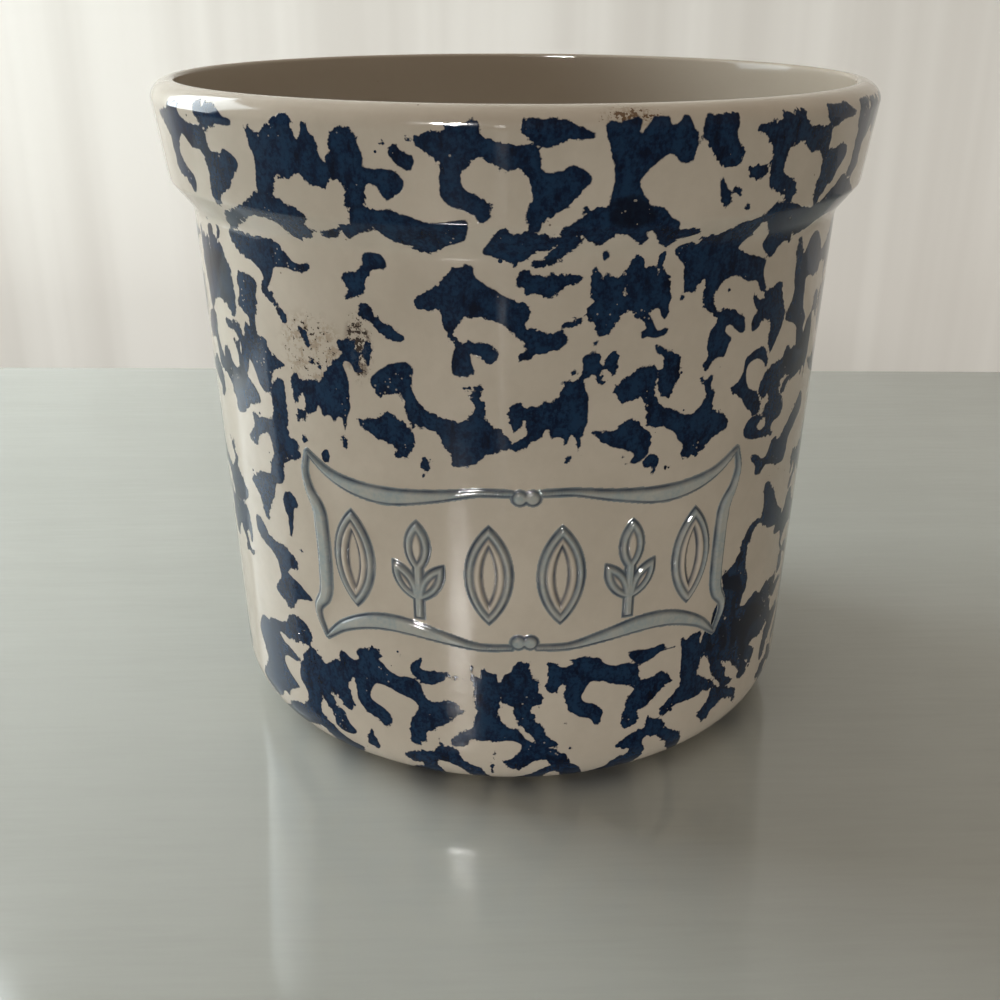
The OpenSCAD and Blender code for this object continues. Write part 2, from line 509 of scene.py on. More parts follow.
def dry_clay():
    """The unglazed foot: pale gritty stoneware, darker grey towards the edge it stands on."""
    material, tree, shader, place = new_material("dry_clay")
    grit = noise(tree, place, size=0.5, detail=3, roughness=0.7, seed=13)
    cloud = noise(tree, place, size=8, detail=3, roughness=0.6, seed=17)
    colour = blend(tree, ramp(tree, cloud, 0.35, 0.65), (0.50, 0.40, 0.28), (0.62, 0.53, 0.40))
    near = spots(tree, place, size=2.2, seed=6)
    colour = blend(tree, ramp(tree, near, 0.05, 0.11, 0.7, 0), colour, (0.13, 0.09, 0.06))
    height = put(tree, "ShaderNodeSeparateXYZ", {0: place}).outputs[2]
    colour = blend(tree, ramp(tree, height, 0.05, 0.5, 0.6, 0), colour, (0.25, 0.23, 0.20))
    tree.links.new(colour, shader.inputs["Base Color"])
    tree.links.new(ramp(tree, grit, 0.3, 0.7, 0.72, 0.92), shader.inputs["Roughness"])
    bump(tree, scaled(tree, grit, 0.08), shader)
    return material


def table_top():
    """Pale painted table: a glossy sheen with faint brush waves."""
    material, tree, shader, place = new_material("pale_table")
    drawn = put(tree, "ShaderNodeMapping", {"Vector": place, "Scale": (0.08, 1.0, 1.0)}).outputs[0]
    brushed = noise(tree, drawn, size=12, detail=4, roughness=0.6, seed=27)
    hairs = noise(tree, drawn, size=1.6, detail=3, roughness=0.65, seed=23)
    cloud = noise(tree, place, size=120, detail=3, roughness=0.5, seed=29)
    tone = calc(tree, "ADD", scaled(tree, cloud, 0.6), scaled(tree, brushed, 0.2))
    tone = calc(tree, "ADD", tone, scaled(tree, hairs, 0.2))
    colour = blend(tree, ramp(tree, tone, 0.35, 0.65), (0.345, 0.357, 0.33), (0.385, 0.397, 0.37))
    tree.links.new(colour, shader.inputs["Base Color"])
    tree.links.new(ramp(tree, hairs, 0.3, 0.7, 0.06, 0.14), shader.inputs["Roughness"])
    bump(tree, calc(tree, "ADD", scaled(tree, brushed, 0.02), scaled(tree, hairs, 0.004)), shader)
    return material


def curtain_cloth():
    """Warm white cloth behind the table: it glows as painted light shining through from behind, with
    painted light and shade of folds in vertical bands.
    """
    material, tree, shader, place = new_material("white_backdrop")
    drawn = put(tree, "ShaderNodeMapping", {"Vector": place, "Scale": (1.0, 1.0, 0.03)}).outputs[0]
    # Painted light and shade of folds: lighter and darker vertical bands on the flat cloth
    fold_light_and_shade = noise(tree, drawn, size=38, detail=3, roughness=0.5, seed=47)
    colour = blend(tree, ramp(tree, fold_light_and_shade, 0.35, 0.65), (0.48, 0.465, 0.43), (0.56, 0.55, 0.515))
    tree.links.new(colour, shader.inputs["Base Color"])
    # Painted light: the cloth glows as if daylight shone through it from behind
    tree.links.new(colour, shader.inputs["Emission Color"])
    shader.inputs["Emission Strength"].default_value = 0.53
    shader.inputs["Roughness"].default_value = 0.9
    return material


# ---------------------------------------------------------------- meshes that nodes finish


def stored(mesh, name, values):
    """Stores one number for each point of a mesh."""
    layer = mesh.attributes.new(name, "FLOAT", "POINT")
    layer.data.foreach_set("value", np.asarray(values, np.float32))


def points_of(mesh):
    """The mesh's points in millimetres, one row each."""
    flat = np.empty(len(mesh.vertices) * 3, np.float32)
    mesh.vertices.foreach_get("co", flat)
    return flat.reshape(-1, 3).astype(float) / MM


def new_object(name, points, edges=(), faces=()):
    """An object from points in millimetres, linked to the scene."""
    mesh = bpy.data.meshes.new(name)
    mesh.from_pydata([tuple(value * MM for value in p) for p in points], edges, faces)
    obj = bpy.data.objects.new(name, mesh)
    bpy.context.scene.collection.objects.link(obj)
    return obj


def run_tree(obj, tree, **inputs):
    """Runs a Geometry Nodes tree on an object and keeps the result as its plain mesh."""
    modifier = obj.modifiers.new(tree.name, "NODES")
    modifier.node_group = tree
    named = {item.name: item.identifier for item in tree.interface.items_tree if item.in_out == "INPUT"}
    for name, value in inputs.items():
        modifier[named[name.replace("_", " ").title()]] = value
    graph = bpy.context.evaluated_depsgraph_get()
    result = bpy.data.meshes.new_from_object(
        obj.evaluated_get(graph), preserve_all_data_layers=True, depsgraph=graph
    )
    obj.modifiers.clear()
    rough = obj.data
    obj.data = result
    bpy.data.meshes.remove(rough)
    return obj


def finished(tree, geometry, finish, result):
    """Ends a tree: real geometry with its finish on it."""
    real = put(tree, "GeometryNodeRealizeInstances", {"Geometry": geometry})
    glazed = put(tree, "GeometryNodeSetMaterial", {"Geometry": real.outputs[0], "Material": finish})
    tree.links.new(glazed.outputs[0], result.inputs[0])


def profile_grid(tree, profile, segments):
    """A grid with a column of the profile's points for each segment; returns it, row and column."""
    count = put(tree, "GeometryNodeAttributeDomainSize", {0: profile}).outputs["Point Count"]
    columns = calc(tree, "ADD", segments, 1)
    grid = put(tree, "GeometryNodeMeshGrid", {"Vertices X": columns, "Vertices Y": count}).outputs[0]
    index = tree.nodes.new("GeometryNodeInputIndex").outputs[0]
    row = calc(tree, "MODULO", index, count)
    column = calc(tree, "FLOOR", calc(tree, "DIVIDE", index, count))
    return grid, row, column


def profile_point(tree, profile, row):
    """The radius and the height of one point of the profile."""
    where = tree.nodes.new("GeometryNodeInputPosition").outputs[0]
    sample = put(tree, "GeometryNodeSampleIndex", data_type="FLOAT_VECTOR", domain="POINT")
    for name, value in (("Geometry", profile), ("Value", where), ("Index", row)):
        tree.links.new(value, sample.inputs[name])
    split = put(tree, "ShaderNodeSeparateXYZ", {0: sample.outputs[0]}).outputs
    return split[0], split[2]


def swayed(tree, radius, height, sine, cosine, unevenness):
    """The radius with a slow sway in and out, less of it towards the middle."""
    twist = 9
    around = {0: sine, 1: cosine, 2: calc(tree, "MULTIPLY", height, twist)}
    place = put(tree, "ShaderNodeCombineXYZ", around).outputs[0]
    slow = {"Vector": place, "Scale": 1.1, "Detail": 1.0}
    sway = put(tree, "ShaderNodeTexNoise", slow).outputs["Fac"]
    off = calc(tree, "MULTIPLY", calc(tree, "SUBTRACT", sway, 0.5), unevenness)
    steady = calc(tree, "DIVIDE", radius, ROUND_R * MM)
    return calc(tree, "ADD", radius, calc(tree, "MULTIPLY", off, steady))


def smooth_but_sharp(tree, geometry, sharp_angle):
    """Smooth shading, except along edges sharper than an angle."""
    smooth = put(tree, "GeometryNodeSetShadeSmooth", {"Geometry": geometry, "Shade Smooth": True})
    crease = tree.nodes.new("GeometryNodeInputMeshEdgeAngle").outputs["Unsigned Angle"]
    is_sharp = put(tree, "FunctionNodeCompare", {0: crease, 1: sharp_angle})
    is_sharp.operation = "GREATER_THAN"
    sharp = put(tree, "GeometryNodeSetShadeSmooth", {"Geometry": smooth.outputs[0], "Shade Smooth": False})
    sharp.domain = "EDGE"
    tree.links.new(is_sharp.outputs[0], sharp.inputs["Selection"])
    return sharp.outputs[0]


def make_wheel():
    """Geometry Nodes: turns a profile (points in the X-Z plane, in order) once round the Z axis."""
    tree, given, result = new_group(
        "potters_wheel",
        {
            "Geometry": ("NodeSocketGeometry", None),
            "Segments": ("NodeSocketInt", SEGMENTS),
            "Unevenness": (FLOAT, 0.0),
            "Sharp Angle": (FLOAT, 0.6),
            "Finish": ("NodeSocketMaterial", None),
        },
        {"Geometry": ("NodeSocketGeometry", None)},
        "GeometryNodeTree",
    )
    profile = given.outputs["Geometry"]
    segments = given.outputs["Segments"]
    grid, row, column = profile_grid(tree, profile, segments)
    plain_radius, height = profile_point(tree, profile, row)
    angle = calc(tree, "DIVIDE", calc(tree, "MULTIPLY", column, TURN), segments)
    sine = calc(tree, "SINE", angle)
    cosine = calc(tree, "COSINE", angle)
    radius = swayed(tree, plain_radius, height, sine, cosine, given.outputs["Unevenness"])
    turned = put(tree, "ShaderNodeCombineXYZ", {
        0: calc(tree, "MULTIPLY", radius, sine),
        1: calc(tree, "MULTIPLY", calc(tree, "MULTIPLY", radius, cosine), -1),
        2: height,
    })
    placed = put(tree, "GeometryNodeSetPosition", {"Geometry": grid, "Position": turned.outputs[0]})
    closed = put(tree, "GeometryNodeMergeByDistance", {"Geometry": placed.outputs[0], "Distance": 1e-6})
    shaded = smooth_but_sharp(tree, closed.outputs[0], given.outputs["Sharp Angle"])
    finished(tree, shaded, given.outputs["Finish"], result)
    return tree


def make_lay_on_wall():
    """Geometry Nodes: bends a flat patch (along, up, height) round the tapered wall."""
    tree, given, result = new_group(
        "lay_on_wall",
        {
            "Geometry": ("NodeSocketGeometry", None),
            "Along": (FLOAT, 0.0),
            "Middle": (FLOAT, LABEL_Z * MM),
            "Radius": (FLOAT, wall_r(LABEL_Z) * MM),
            "Slope": (FLOAT, WALL_SLOPE),
            "Finish": ("NodeSocketMaterial", None),
        },
        {"Geometry": ("NodeSocketGeometry", None)},
        "GeometryNodeTree",
    )
    where = tree.nodes.new("GeometryNodeInputPosition").outputs[0]
    split = put(tree, "ShaderNodeSeparateXYZ", {0: where}).outputs
    along = calc(tree, "ADD", split[0], given.outputs["Along"])
    angle = calc(tree, "DIVIDE", along, given.outputs["Radius"])
    rise = calc(tree, "ADD", calc(tree, "MULTIPLY", split[1], given.outputs["Slope"]), split[2])
    radius = calc(tree, "ADD", given.outputs["Radius"], rise)
    bent = put(tree, "ShaderNodeCombineXYZ", {
        0: calc(tree, "MULTIPLY", radius, calc(tree, "SINE", angle)),
        1: calc(tree, "MULTIPLY", calc(tree, "MULTIPLY", radius, calc(tree, "COSINE", angle)), -1),
        2: calc(tree, "ADD", split[1], given.outputs["Middle"]),
    })
    placed = put(tree, "GeometryNodeSetPosition", {
        "Geometry": given.outputs["Geometry"], "Position": bent.outputs[0],
    })
    smooth = put(tree, "GeometryNodeSetShadeSmooth", {"Geometry": placed.outputs[0], "Shade Smooth": True})
    finished(tree, smooth.outputs[0], given.outputs["Finish"], result)
    return tree


WHEEL = make_wheel()
LAY_ON_WALL = make_lay_on_wall()

# ---------------------------------------------------------------- profiles of the turned pieces


def stretch(a, b, step):
    """Points from a towards b, no further apart than step, without b."""
    count = max(1, math.ceil(math.dist(a, b) / step))
    return [tuple(p + (q - p) * i / count for p, q in zip(a, b)) for i in range(count)]


def quarter(centre, rx, rz, start, stop, steps):
    """Points of an ellipse's arc, from one angle to another, in degrees."""
    angles = [math.radians(start + (stop - start) * i / steps) for i in range(steps + 1)]
    return [(centre[0] + rx * math.cos(a), centre[1] + rz * math.sin(a)) for a in angles]


def rounded(before, corner, after, radius, steps):
    """Points of the arc that rounds a corner between two straight runs."""
    c = Vector(corner)
    to_before = (Vector(before) - c).normalized()
    to_after = (Vector(after) - c).normalized()
    half = to_before.angle(to_after) / 2
    reach = radius / math.tan(half)
    start = c + to_before * reach
    stop = c + to_after * reach
    middle = c + (to_before + to_after).normalized() * (radius / math.sin(half))
    arm_a = start - middle
    arm_b = stop - middle
    spread = arm_a.angle(arm_b)
    points = []
    for i in range(steps + 1):
        t = i / steps
        arm = arm_a * math.sin((1 - t) * spread) + arm_b * math.sin(t * spread)
        points.append(tuple(middle + arm / math.sin(spread)))
    return points


def spaced(points, step):
    """Fills the straight runs of an outline with points."""
    filled = []
    for a, b in zip(points, points[1:]):
        filled += stretch(a, b, step)
    return filled + [points[-1]]


def wall_profile():
    """The tapered wall, from its outer foot up and back down the inside."""
    inner_low = (wall_r(WALL_LOW_Z) - WALL_T, WALL_LOW_Z)
    outer_low = (wall_r(WALL_LOW_Z), WALL_LOW_Z)
    outer_high = (wall_r(SHOULDER_Z), SHOULDER_Z)
    inner_high = (wall_r(SHOULDER_Z) - WALL_T, SHOULDER_Z)
    return [
        *stretch(outer_low, outer_high, FINE_STEP),
        *stretch(outer_high, inner_high, WALL_T),
        *stretch(inner_high, inner_low, 4 * COARSE_STEP),
        *stretch(inner_low, outer_low, WALL_T),
        outer_low,
    ]


def heel_arc():
    """The rounded heel, from the underside to the wall."""
    heel_z = FOOT_TOP_Z + HEEL_R
    return quarter((wall_r(heel_z) - HEEL_R, heel_z), HEEL_R, HEEL_R, -90, 0, HEEL_STEPS)


def base_profile():
    """The floor and its heel: the underside, the heel, up the wall, and back over the floor."""
    heel = heel_arc()
    floor_z = FOOT_TOP_Z + FLOOR_T
    hollow_z = floor_z + INNER_CORNER_R
    hollow_r = wall_r(hollow_z) - WALL_T - INNER_CORNER_R
    hollow = quarter((hollow_r, hollow_z), INNER_CORNER_R, INNER_CORNER_R, 0, -90, HOLLOW_STEPS)
    top_out = (wall_r(WALL_LOW_Z), WALL_LOW_Z)
    top_in = (wall_r(WALL_LOW_Z) - WALL_T, WALL_LOW_Z)
    return [
        *stretch((0, FOOT_TOP_Z), heel[0], 14),
        *heel[:-1],
        *stretch(heel[-1], top_out, FINE_STEP),
        *stretch(top_out, top_in, WALL_T),
        *stretch(top_in, hollow[0], COARSE_STEP),
        *hollow[:-1],
        *stretch(hollow[-1], (0, floor_z), 9),
        (0, floor_z),
    ]


COLLAR_CORNER = (COLLAR_LOW_R, CREST_Z - COLLAR_H)
COLLAR_STEP = (STEP_R, COLLAR_CORNER[1] - STEP_H)
COLLAR_WIDEST = (RIM_R, CREST_Z - LIP_H)


def eased(value):
    """A soft step from 0 to 1."""
    t = np.clip(value, 0, 1)
    return t * t * (3 - 2 * t)


def throat_curve(low_in):
    """Points from the foot of the straight mouth down to the inside of the wall."""
    throat_z = CREST_Z - MOUTH_H
    points = []
    for i in range(THROAT_STEPS):
        t = i / THROAT_STEPS
        radius = MOUTH_R + (low_in[0] - MOUTH_R) * float(eased(t))
        points.append((radius, throat_z + (low_in[1] - throat_z) * t))
    return points


def collar_profile():
    """The collar: its step and shoulder, the lip over the top, the mouth and the throat."""
    low_out = (wall_r(SHOULDER_Z), SHOULDER_Z)
    low_in = (wall_r(SHOULDER_Z) - WALL_T, SHOULDER_Z)
    fillet = rounded(low_out, COLLAR_STEP, COLLAR_CORNER, STEP_SOFT_R, BEND_STEPS)
    shoulder = rounded(COLLAR_STEP, COLLAR_CORNER, COLLAR_WIDEST, COLLAR_SOFT_R, BEND_STEPS)
    lip = quarter((RIM_R - LIP_W, CREST_Z - LIP_H), LIP_W, LIP_H, 4, 90, LIP_STEPS)
    edge_middle = (MOUTH_R + MOUTH_EDGE_R, CREST_Z - MOUTH_EDGE_R)
    edge = quarter(edge_middle, MOUTH_EDGE_R, MOUTH_EDGE_R, 90, 180, EDGE_STEPS)
    throat = throat_curve(low_in)
    return [
        *spaced([low_out, *fillet, *shoulder, lip[0]], FINE_STEP)[:-1],
        *lip[:-1],
        *edge[:-1],
        *stretch(edge[-1], throat[0], COARSE_STEP),
        *throat,
        *stretch(low_in, low_out, WALL_T),
        low_out,
    ]


def foot_profile():
    """The low ring that the crock stands on, with softened lower edges."""
    soft = FOOT_SOFT_R
    inner_r = FOOT_R - FOOT_W
    outer = quarter((FOOT_R - soft, soft), soft, soft, -90, 0, SOFT_STEPS)
    inner = quarter((inner_r + soft, soft), soft, soft, 180, 270, SOFT_STEPS)
    return [
        *inner[:-1],
        *stretch(inner[-1], outer[0], 2),
        *outer[:-1],
        *stretch(outer[-1], (FOOT_R, FOOT_TOP_Z), 1),
        *stretch((FOOT_R, FOOT_TOP_Z), (inner_r, FOOT_TOP_Z), FOOT_W),
        *stretch((inner_r, FOOT_TOP_Z), inner[0], 1),
        inner[0],
    ]


# ---------------------------------------------------------------- the sponge stamp

# The blots of each row's dab, as outlines on the unrolled wall: (along, height) in millimetres
COLLAR_DAB = [
    [
        (-18.3, 135), (-15.5, 136), (-13, 136), (-12.4, 137.6), (-10.5, 137.2), (-9, 138), (-7.7, 137.6),
        (-7.4, 136), (-5.5, 134.9), (-2.5, 134.3), (0, 134.3), (1, 132.8), (1.5, 130), (4, 130),
        (6, 130.9), (9, 128.7), (6.3, 125.5), (5.6, 124.2), (2.6, 122.4), (1.2, 120.2), (-0.1, 120.3),
        (-0.8, 123), (-0.1, 125.7), (-0.4, 128.2), (-2, 130), (-4.5, 130.1), (-7, 131.9), (-8.2, 132),
        (-10.2, 130), (-10.4, 127.6), (-8.2, 125.9), (-6.5, 124.8), (-6.2, 123.2), (-7.5, 121.4),
        (-9.3, 123.1), (-12.5, 124.3), (-13.8, 126), (-13.8, 129.5), (-14.2, 131.5), (-16.5, 133.5),
    ],
    [
        (-1.5, 138), (-0.5, 138.9), (1, 138.1), (3, 138.4), (5, 137.9), (7, 136.6), (9, 136),
        (8.7, 135), (5.5, 134.9), (2, 133.7), (0, 134.6), (-1.5, 136),
    ],
    [
        (11, 138), (12.5, 137.6), (15.8, 138.2), (15.6, 135.6), (16.5, 136.5), (18, 138.5), (20.3, 138.9),
        (20.6, 137), (22, 137.5), (23, 139), (24, 137), (25.5, 134), (25, 131.5), (24, 130.6),
        (22.5, 131), (21, 132.4), (19.5, 131.5), (17.5, 129.8), (16.5, 128), (17, 126), (16, 124.5),
        (13.5, 123.7), (11.5, 124.2), (12, 126.5), (12.3, 129), (11.8, 132), (11, 134.5), (10.7, 136.5),
    ],
    [
        (26, 137.5), (27, 139.3), (30, 139.6), (32.3, 139.3), (32.2, 137), (32, 134.5), (33, 133.2),
        (34, 131.5), (33, 130), (31.5, 129.5), (29.5, 130.3), (28, 132.3), (26.5, 133.8), (25.7, 135.5),
    ],
]
UPPER_DAB = [
    [
        (-20.2, 106.9), (-18.7, 108.3), (-16.6, 109.4), (-14.4, 111.2), (-13, 113), (-10.8, 113.7),
        (-9.4, 113.4), (-9.4, 112.3), (-8.6, 111.2), (-5, 109), (-2.5, 107.6), (0, 106.9), (0, 104.7),
        (-0.4, 103.3), (0.7, 102.6), (3.6, 102), (5.8, 102), (7.2, 101), (5.8, 99), (3.6, 98.2),
        (1.4, 98.2), (0.6, 97.4), (-1.4, 97.1), (-1.7, 98), (-0.6, 99), (-1.2, 100.4), (-2.9, 102.3),
        (-4.8, 103.6), (-7.2, 104.3), (-10.1, 104.5),
        (-12.2, 103.3), (-13, 101.1), (-11.5, 100), (-9.4, 100.1), (-6.5, 99.8), (-5.4, 97.5),
        (-6.5, 96.4), (-8.6, 97.2), (-10.1, 97.8), (-9.6, 94.6), (-11.5, 93.7), (-13.4, 94.4),
        (-13.4, 97.5), (-12.9, 99), (-14.4, 101.8), (-15.1, 104.7), (-17.3, 105.4), (-19.4, 105.8),
    ],
    [
        (-2.5, 111.2), (-1.1, 113), (0, 113), (0.7, 111.9), (4.3, 112.3), (7.9, 111.9), (9.4, 111.2),
        (9, 110.5), (5.8, 109.8), (4.3, 108.3), (0.7, 108.7), (-1.8, 109.8),
    ],
    [
        (10.6, 108), (10.4, 110.5), (10.7, 112.8), (11.4, 113.3), (12, 111.8), (12.7, 110.6),
        (13.1, 111.6), (13.7, 112.4), (14.3, 111.2), (15.4, 111.4), (16.2, 111.8), (16.7, 110.6),
        (16.3, 108.6), (16.7, 108.2), (17.3, 110.4), (17, 112.4), (17.2, 113.8), (18.6, 114.7),
        (19.8, 114.2), (20.3, 112.9), (21.2, 112.6), (22.4, 111.2), (23.1, 111.8), (24, 111.4),
        (25, 110), (25.7, 107.6), (25.5, 105), (24.7, 103.1), (24, 103.7), (23.6, 105.2), (22.4, 105.4),
        (21.6, 104.6), (22.4, 103), (23.4, 101.2), (25.4, 101.6), (25.2, 100.4), (23.5, 99.9),
        (21.5, 100.2), (20.4, 99.9), (20.1, 101.4), (21.2, 101.6), (20.4, 103), (18.8, 104.2),
        (17.8, 105.4), (16.4, 104.2), (15, 102.4), (14.4, 101), (12.8, 100.8), (11.6, 102), (10.8, 104),
        (9.9, 105.8), (10.8, 106.6),
    ],
    [(22.2, 112.2), (22.6, 113.4), (22.8, 114.8), (23.8, 114.9), (23.9, 113.6), (23.2, 112.4)],
]
MIDDLE_DAB = [
    [
        (-3.4, 88.2), (-2.4, 89.2), (-1.2, 89.3), (-0.4, 88.2), (0.6, 88.6), (2, 88.4), (3.2, 89.4),
        (4.6, 89.2), (5.6, 90.6), (6.6, 92.6), (8, 93.2), (9.2, 93.6), (10.4, 92), (11, 89), (10.9, 86),
        (10.9, 84.6), (10.2, 83), (9.8, 81.2), (9.4, 79.5), (9.1, 81), (8.9, 82.2), (7.8, 82.6),
        (7.4, 81.4), (6.9, 80.9), (6.5, 82.2), (5.4, 82.4), (4.4, 81.9), (4, 83.3), (3.4, 84),
        (2.8, 82.6), (1.6, 82.2), (0.4, 81.4), (-0.6, 80.2), (-2, 79.6), (-2.9, 80.6), (-1.8, 82.2),
        (-0.6, 82.3), (0, 83.6), (-0.2, 85.6), (-1, 85.8), (-1.6, 84.2), (-2.6, 83.2), (-2.9, 85.6),
        (-3.6, 86.8),
    ],
    [
        (9.4, 93.4), (9.8, 95), (9.6, 97), (10.6, 97.8), (12.6, 97.6), (12.9, 96.4), (13.6, 95.8),
        (14.4, 97.2), (15.2, 98.2), (16.3, 97.4), (16, 95.6), (15.8, 93.6), (15, 93.2), (14.7, 94.8),
        (13.9, 95), (13.5, 93.2), (14.2, 92.2), (13.4, 91.9), (12.4, 92), (11.8, 93.4), (10.8, 93.6),
    ],
    [
        (15.5, 90.7), (17, 92.5), (19, 93.8), (21, 94.7), (23, 95), (24.2, 93.6), (24, 91.8),
        (23.8, 90), (24.8, 87.6), (26, 86.4), (28, 85.6), (30, 84.6), (32, 84.2), (34, 85.2),
        (35.2, 87), (34.6, 89), (33.2, 91.1), (34.1, 91.3), (35, 90), (35.5, 91.1), (36.6, 91),
        (36.3, 88.7), (37.3, 87.5), (37.3, 85), (39, 83.6), (41, 82.2), (41.9, 80.6), (41, 79.2),
        (38, 78.4), (35.5, 76.3), (33.5, 75.5), (31.4, 75.4), (30.6, 76.6), (31, 78), (29.6, 79.4),
        (29, 80.7), (27, 82.1), (24.3, 83), (22.6, 83.6), (22.2, 86), (21.4, 88.8), (19, 88.6),
        (17.2, 88), (16.4, 89.4),
    ],
    [
        (11.6, 83.4), (14, 83), (16, 83.3), (18, 84.6), (19.8, 84.8), (21.8, 83.4), (23.6, 81.2),
        (23.6, 78.6), (22.4, 76.8), (20.4, 75.9), (19.8, 76.8), (20.4, 77.9), (18.2, 79), (15, 80.2),
        (12.6, 82.2),
    ],
]
LOW_DAB = [
    [
        (4.8, 34.6), (6.4, 34.4), (7.4, 33.7), (9.2, 33.5), (10.1, 34.4), (9.2, 35.1), (10.3, 36.6),
        (11.9, 37.1), (12.4, 36.6), (13.1, 37.6), (14.6, 37.3), (16, 35.9), (14.8, 35.3), (16, 34.4),
        (16.7, 33.4), (19.2, 32.3), (21.7, 32.5), (24.2, 31.4), (24.6, 29.4), (25.8, 27.8), (28.1, 27.6),
        (30.8, 28.4), (33.5, 25.7), (31.7, 24.4), (28.9, 21.9), (26.4, 20.1), (25.3, 19.8), (25.1, 17.6),
        (23.1, 16.4), (21.7, 16.9), (21.5, 20.1), (22.6, 23.7), (23.7, 25.5), (22.3, 27.1), (19.2, 28),
        (16, 29.1), (13.9, 29.1), (12.3, 26.6), (12.8, 24.8), (15.6, 23.5), (17.1, 21.6), (16.5, 19.4),
        (15.5, 18.7), (13.9, 20.5), (11.4, 21.4), (9.2, 23.4), (8.7, 25.9), (8.5, 28.7), (7.8, 29.1),
        (7.1, 27.6), (5.8, 27.1), (4.9, 27.8), (4.8, 30.9),
    ],
    [
        (25.5, 37.6), (23.5, 36.9), (22.1, 35.3), (22.3, 33.7), (23.9, 32.3), (26.2, 31.4), (29.9, 33.3),
        (33.3, 33.2), (33.5, 33.8), (30.5, 34.4), (30.3, 35), (24.9, 34.8), (24.6, 35.9),
    ],
    [
        (34.9, 37), (35.4, 36.6), (35.5, 35.1), (36.4, 34.3), (37.4, 35), (37.2, 36.3), (38, 36.6),
        (38.5, 35.5), (40.3, 35.1), (40.6, 32.6), (41.4, 30.5), (41.2, 27.6), (40.8, 24.8), (42.1, 23.4),
        (45.3, 21.6), (47.1, 19.4), (51.7, 17.3), (55.6, 14.8), (56.4, 11.6), (54.9, 12.3), (53.1, 13.7),
        (49.9, 14.4), (46.7, 13), (45.6, 11.2), (43.5, 11.8), (41.9, 13.4), (42.4, 14.4), (45.3, 16.6),
        (45.6, 18.4), (43.5, 19.4), (39.9, 18.9), (35.3, 18.9), (33.1, 17.6), (31.4, 17.1), (30.8, 18.4),
        (31, 19.4), (33.5, 21.2), (35.6, 23.4), (35.8, 25.9), (35.5, 29.1), (35.3, 32.6), (34.8, 34.8),
    ],
    [
        (20.5, 12.8), (22.8, 14.4), (26.7, 15.5), (27.8, 16.6), (28, 18.5), (28.9, 17.3), (31.7, 16.4),
        (33.1, 14.1), (34.9, 12.6), (37.1, 11.2), (38.1, 9.4), (38.9, 6.6), (40.3, 3.7), (43, 1.4),
        (38.9, 2.3), (37.1, 4.8), (34.6, 7.6), (33.1, 10.1), (30.3, 12.5), (27.4, 12.8), (27.1, 11.6),
        (28.1, 8.7), (27.8, 6.6), (27, 4.8), (29.6, 1.6), (16.5, 1.6), (15.5, 4.6), (19.2, 6.4),
        (19.8, 8), (21.7, 9.2), (23.5, 9.4), (23.3, 11.6), (22.6, 10.9), (21.7, 11.6),
    ],
    [
        (42.1, 35.3), (43.2, 35.8), (44.3, 38), (45.7, 38.8), (47.3, 37.8), (47.5, 35.8), (48.9, 33.3),
        (49.6, 30.5), (49.8, 27.6), (47.9, 27.1), (48, 25.5), (49.6, 23.3), (50.6, 21.2), (51.6, 19.8),
        (52.7, 18.9), (53.6, 18.2), (53.1, 17.5), (50.9, 17.6), (49, 18.3), (48.4, 19.8), (46.6, 21.6),
        (45.2, 23.3), (44.1, 25.5), (43.4, 27.3), (41.4, 29.1), (40.7, 31.6), (41.1, 33.3),
    ],
]

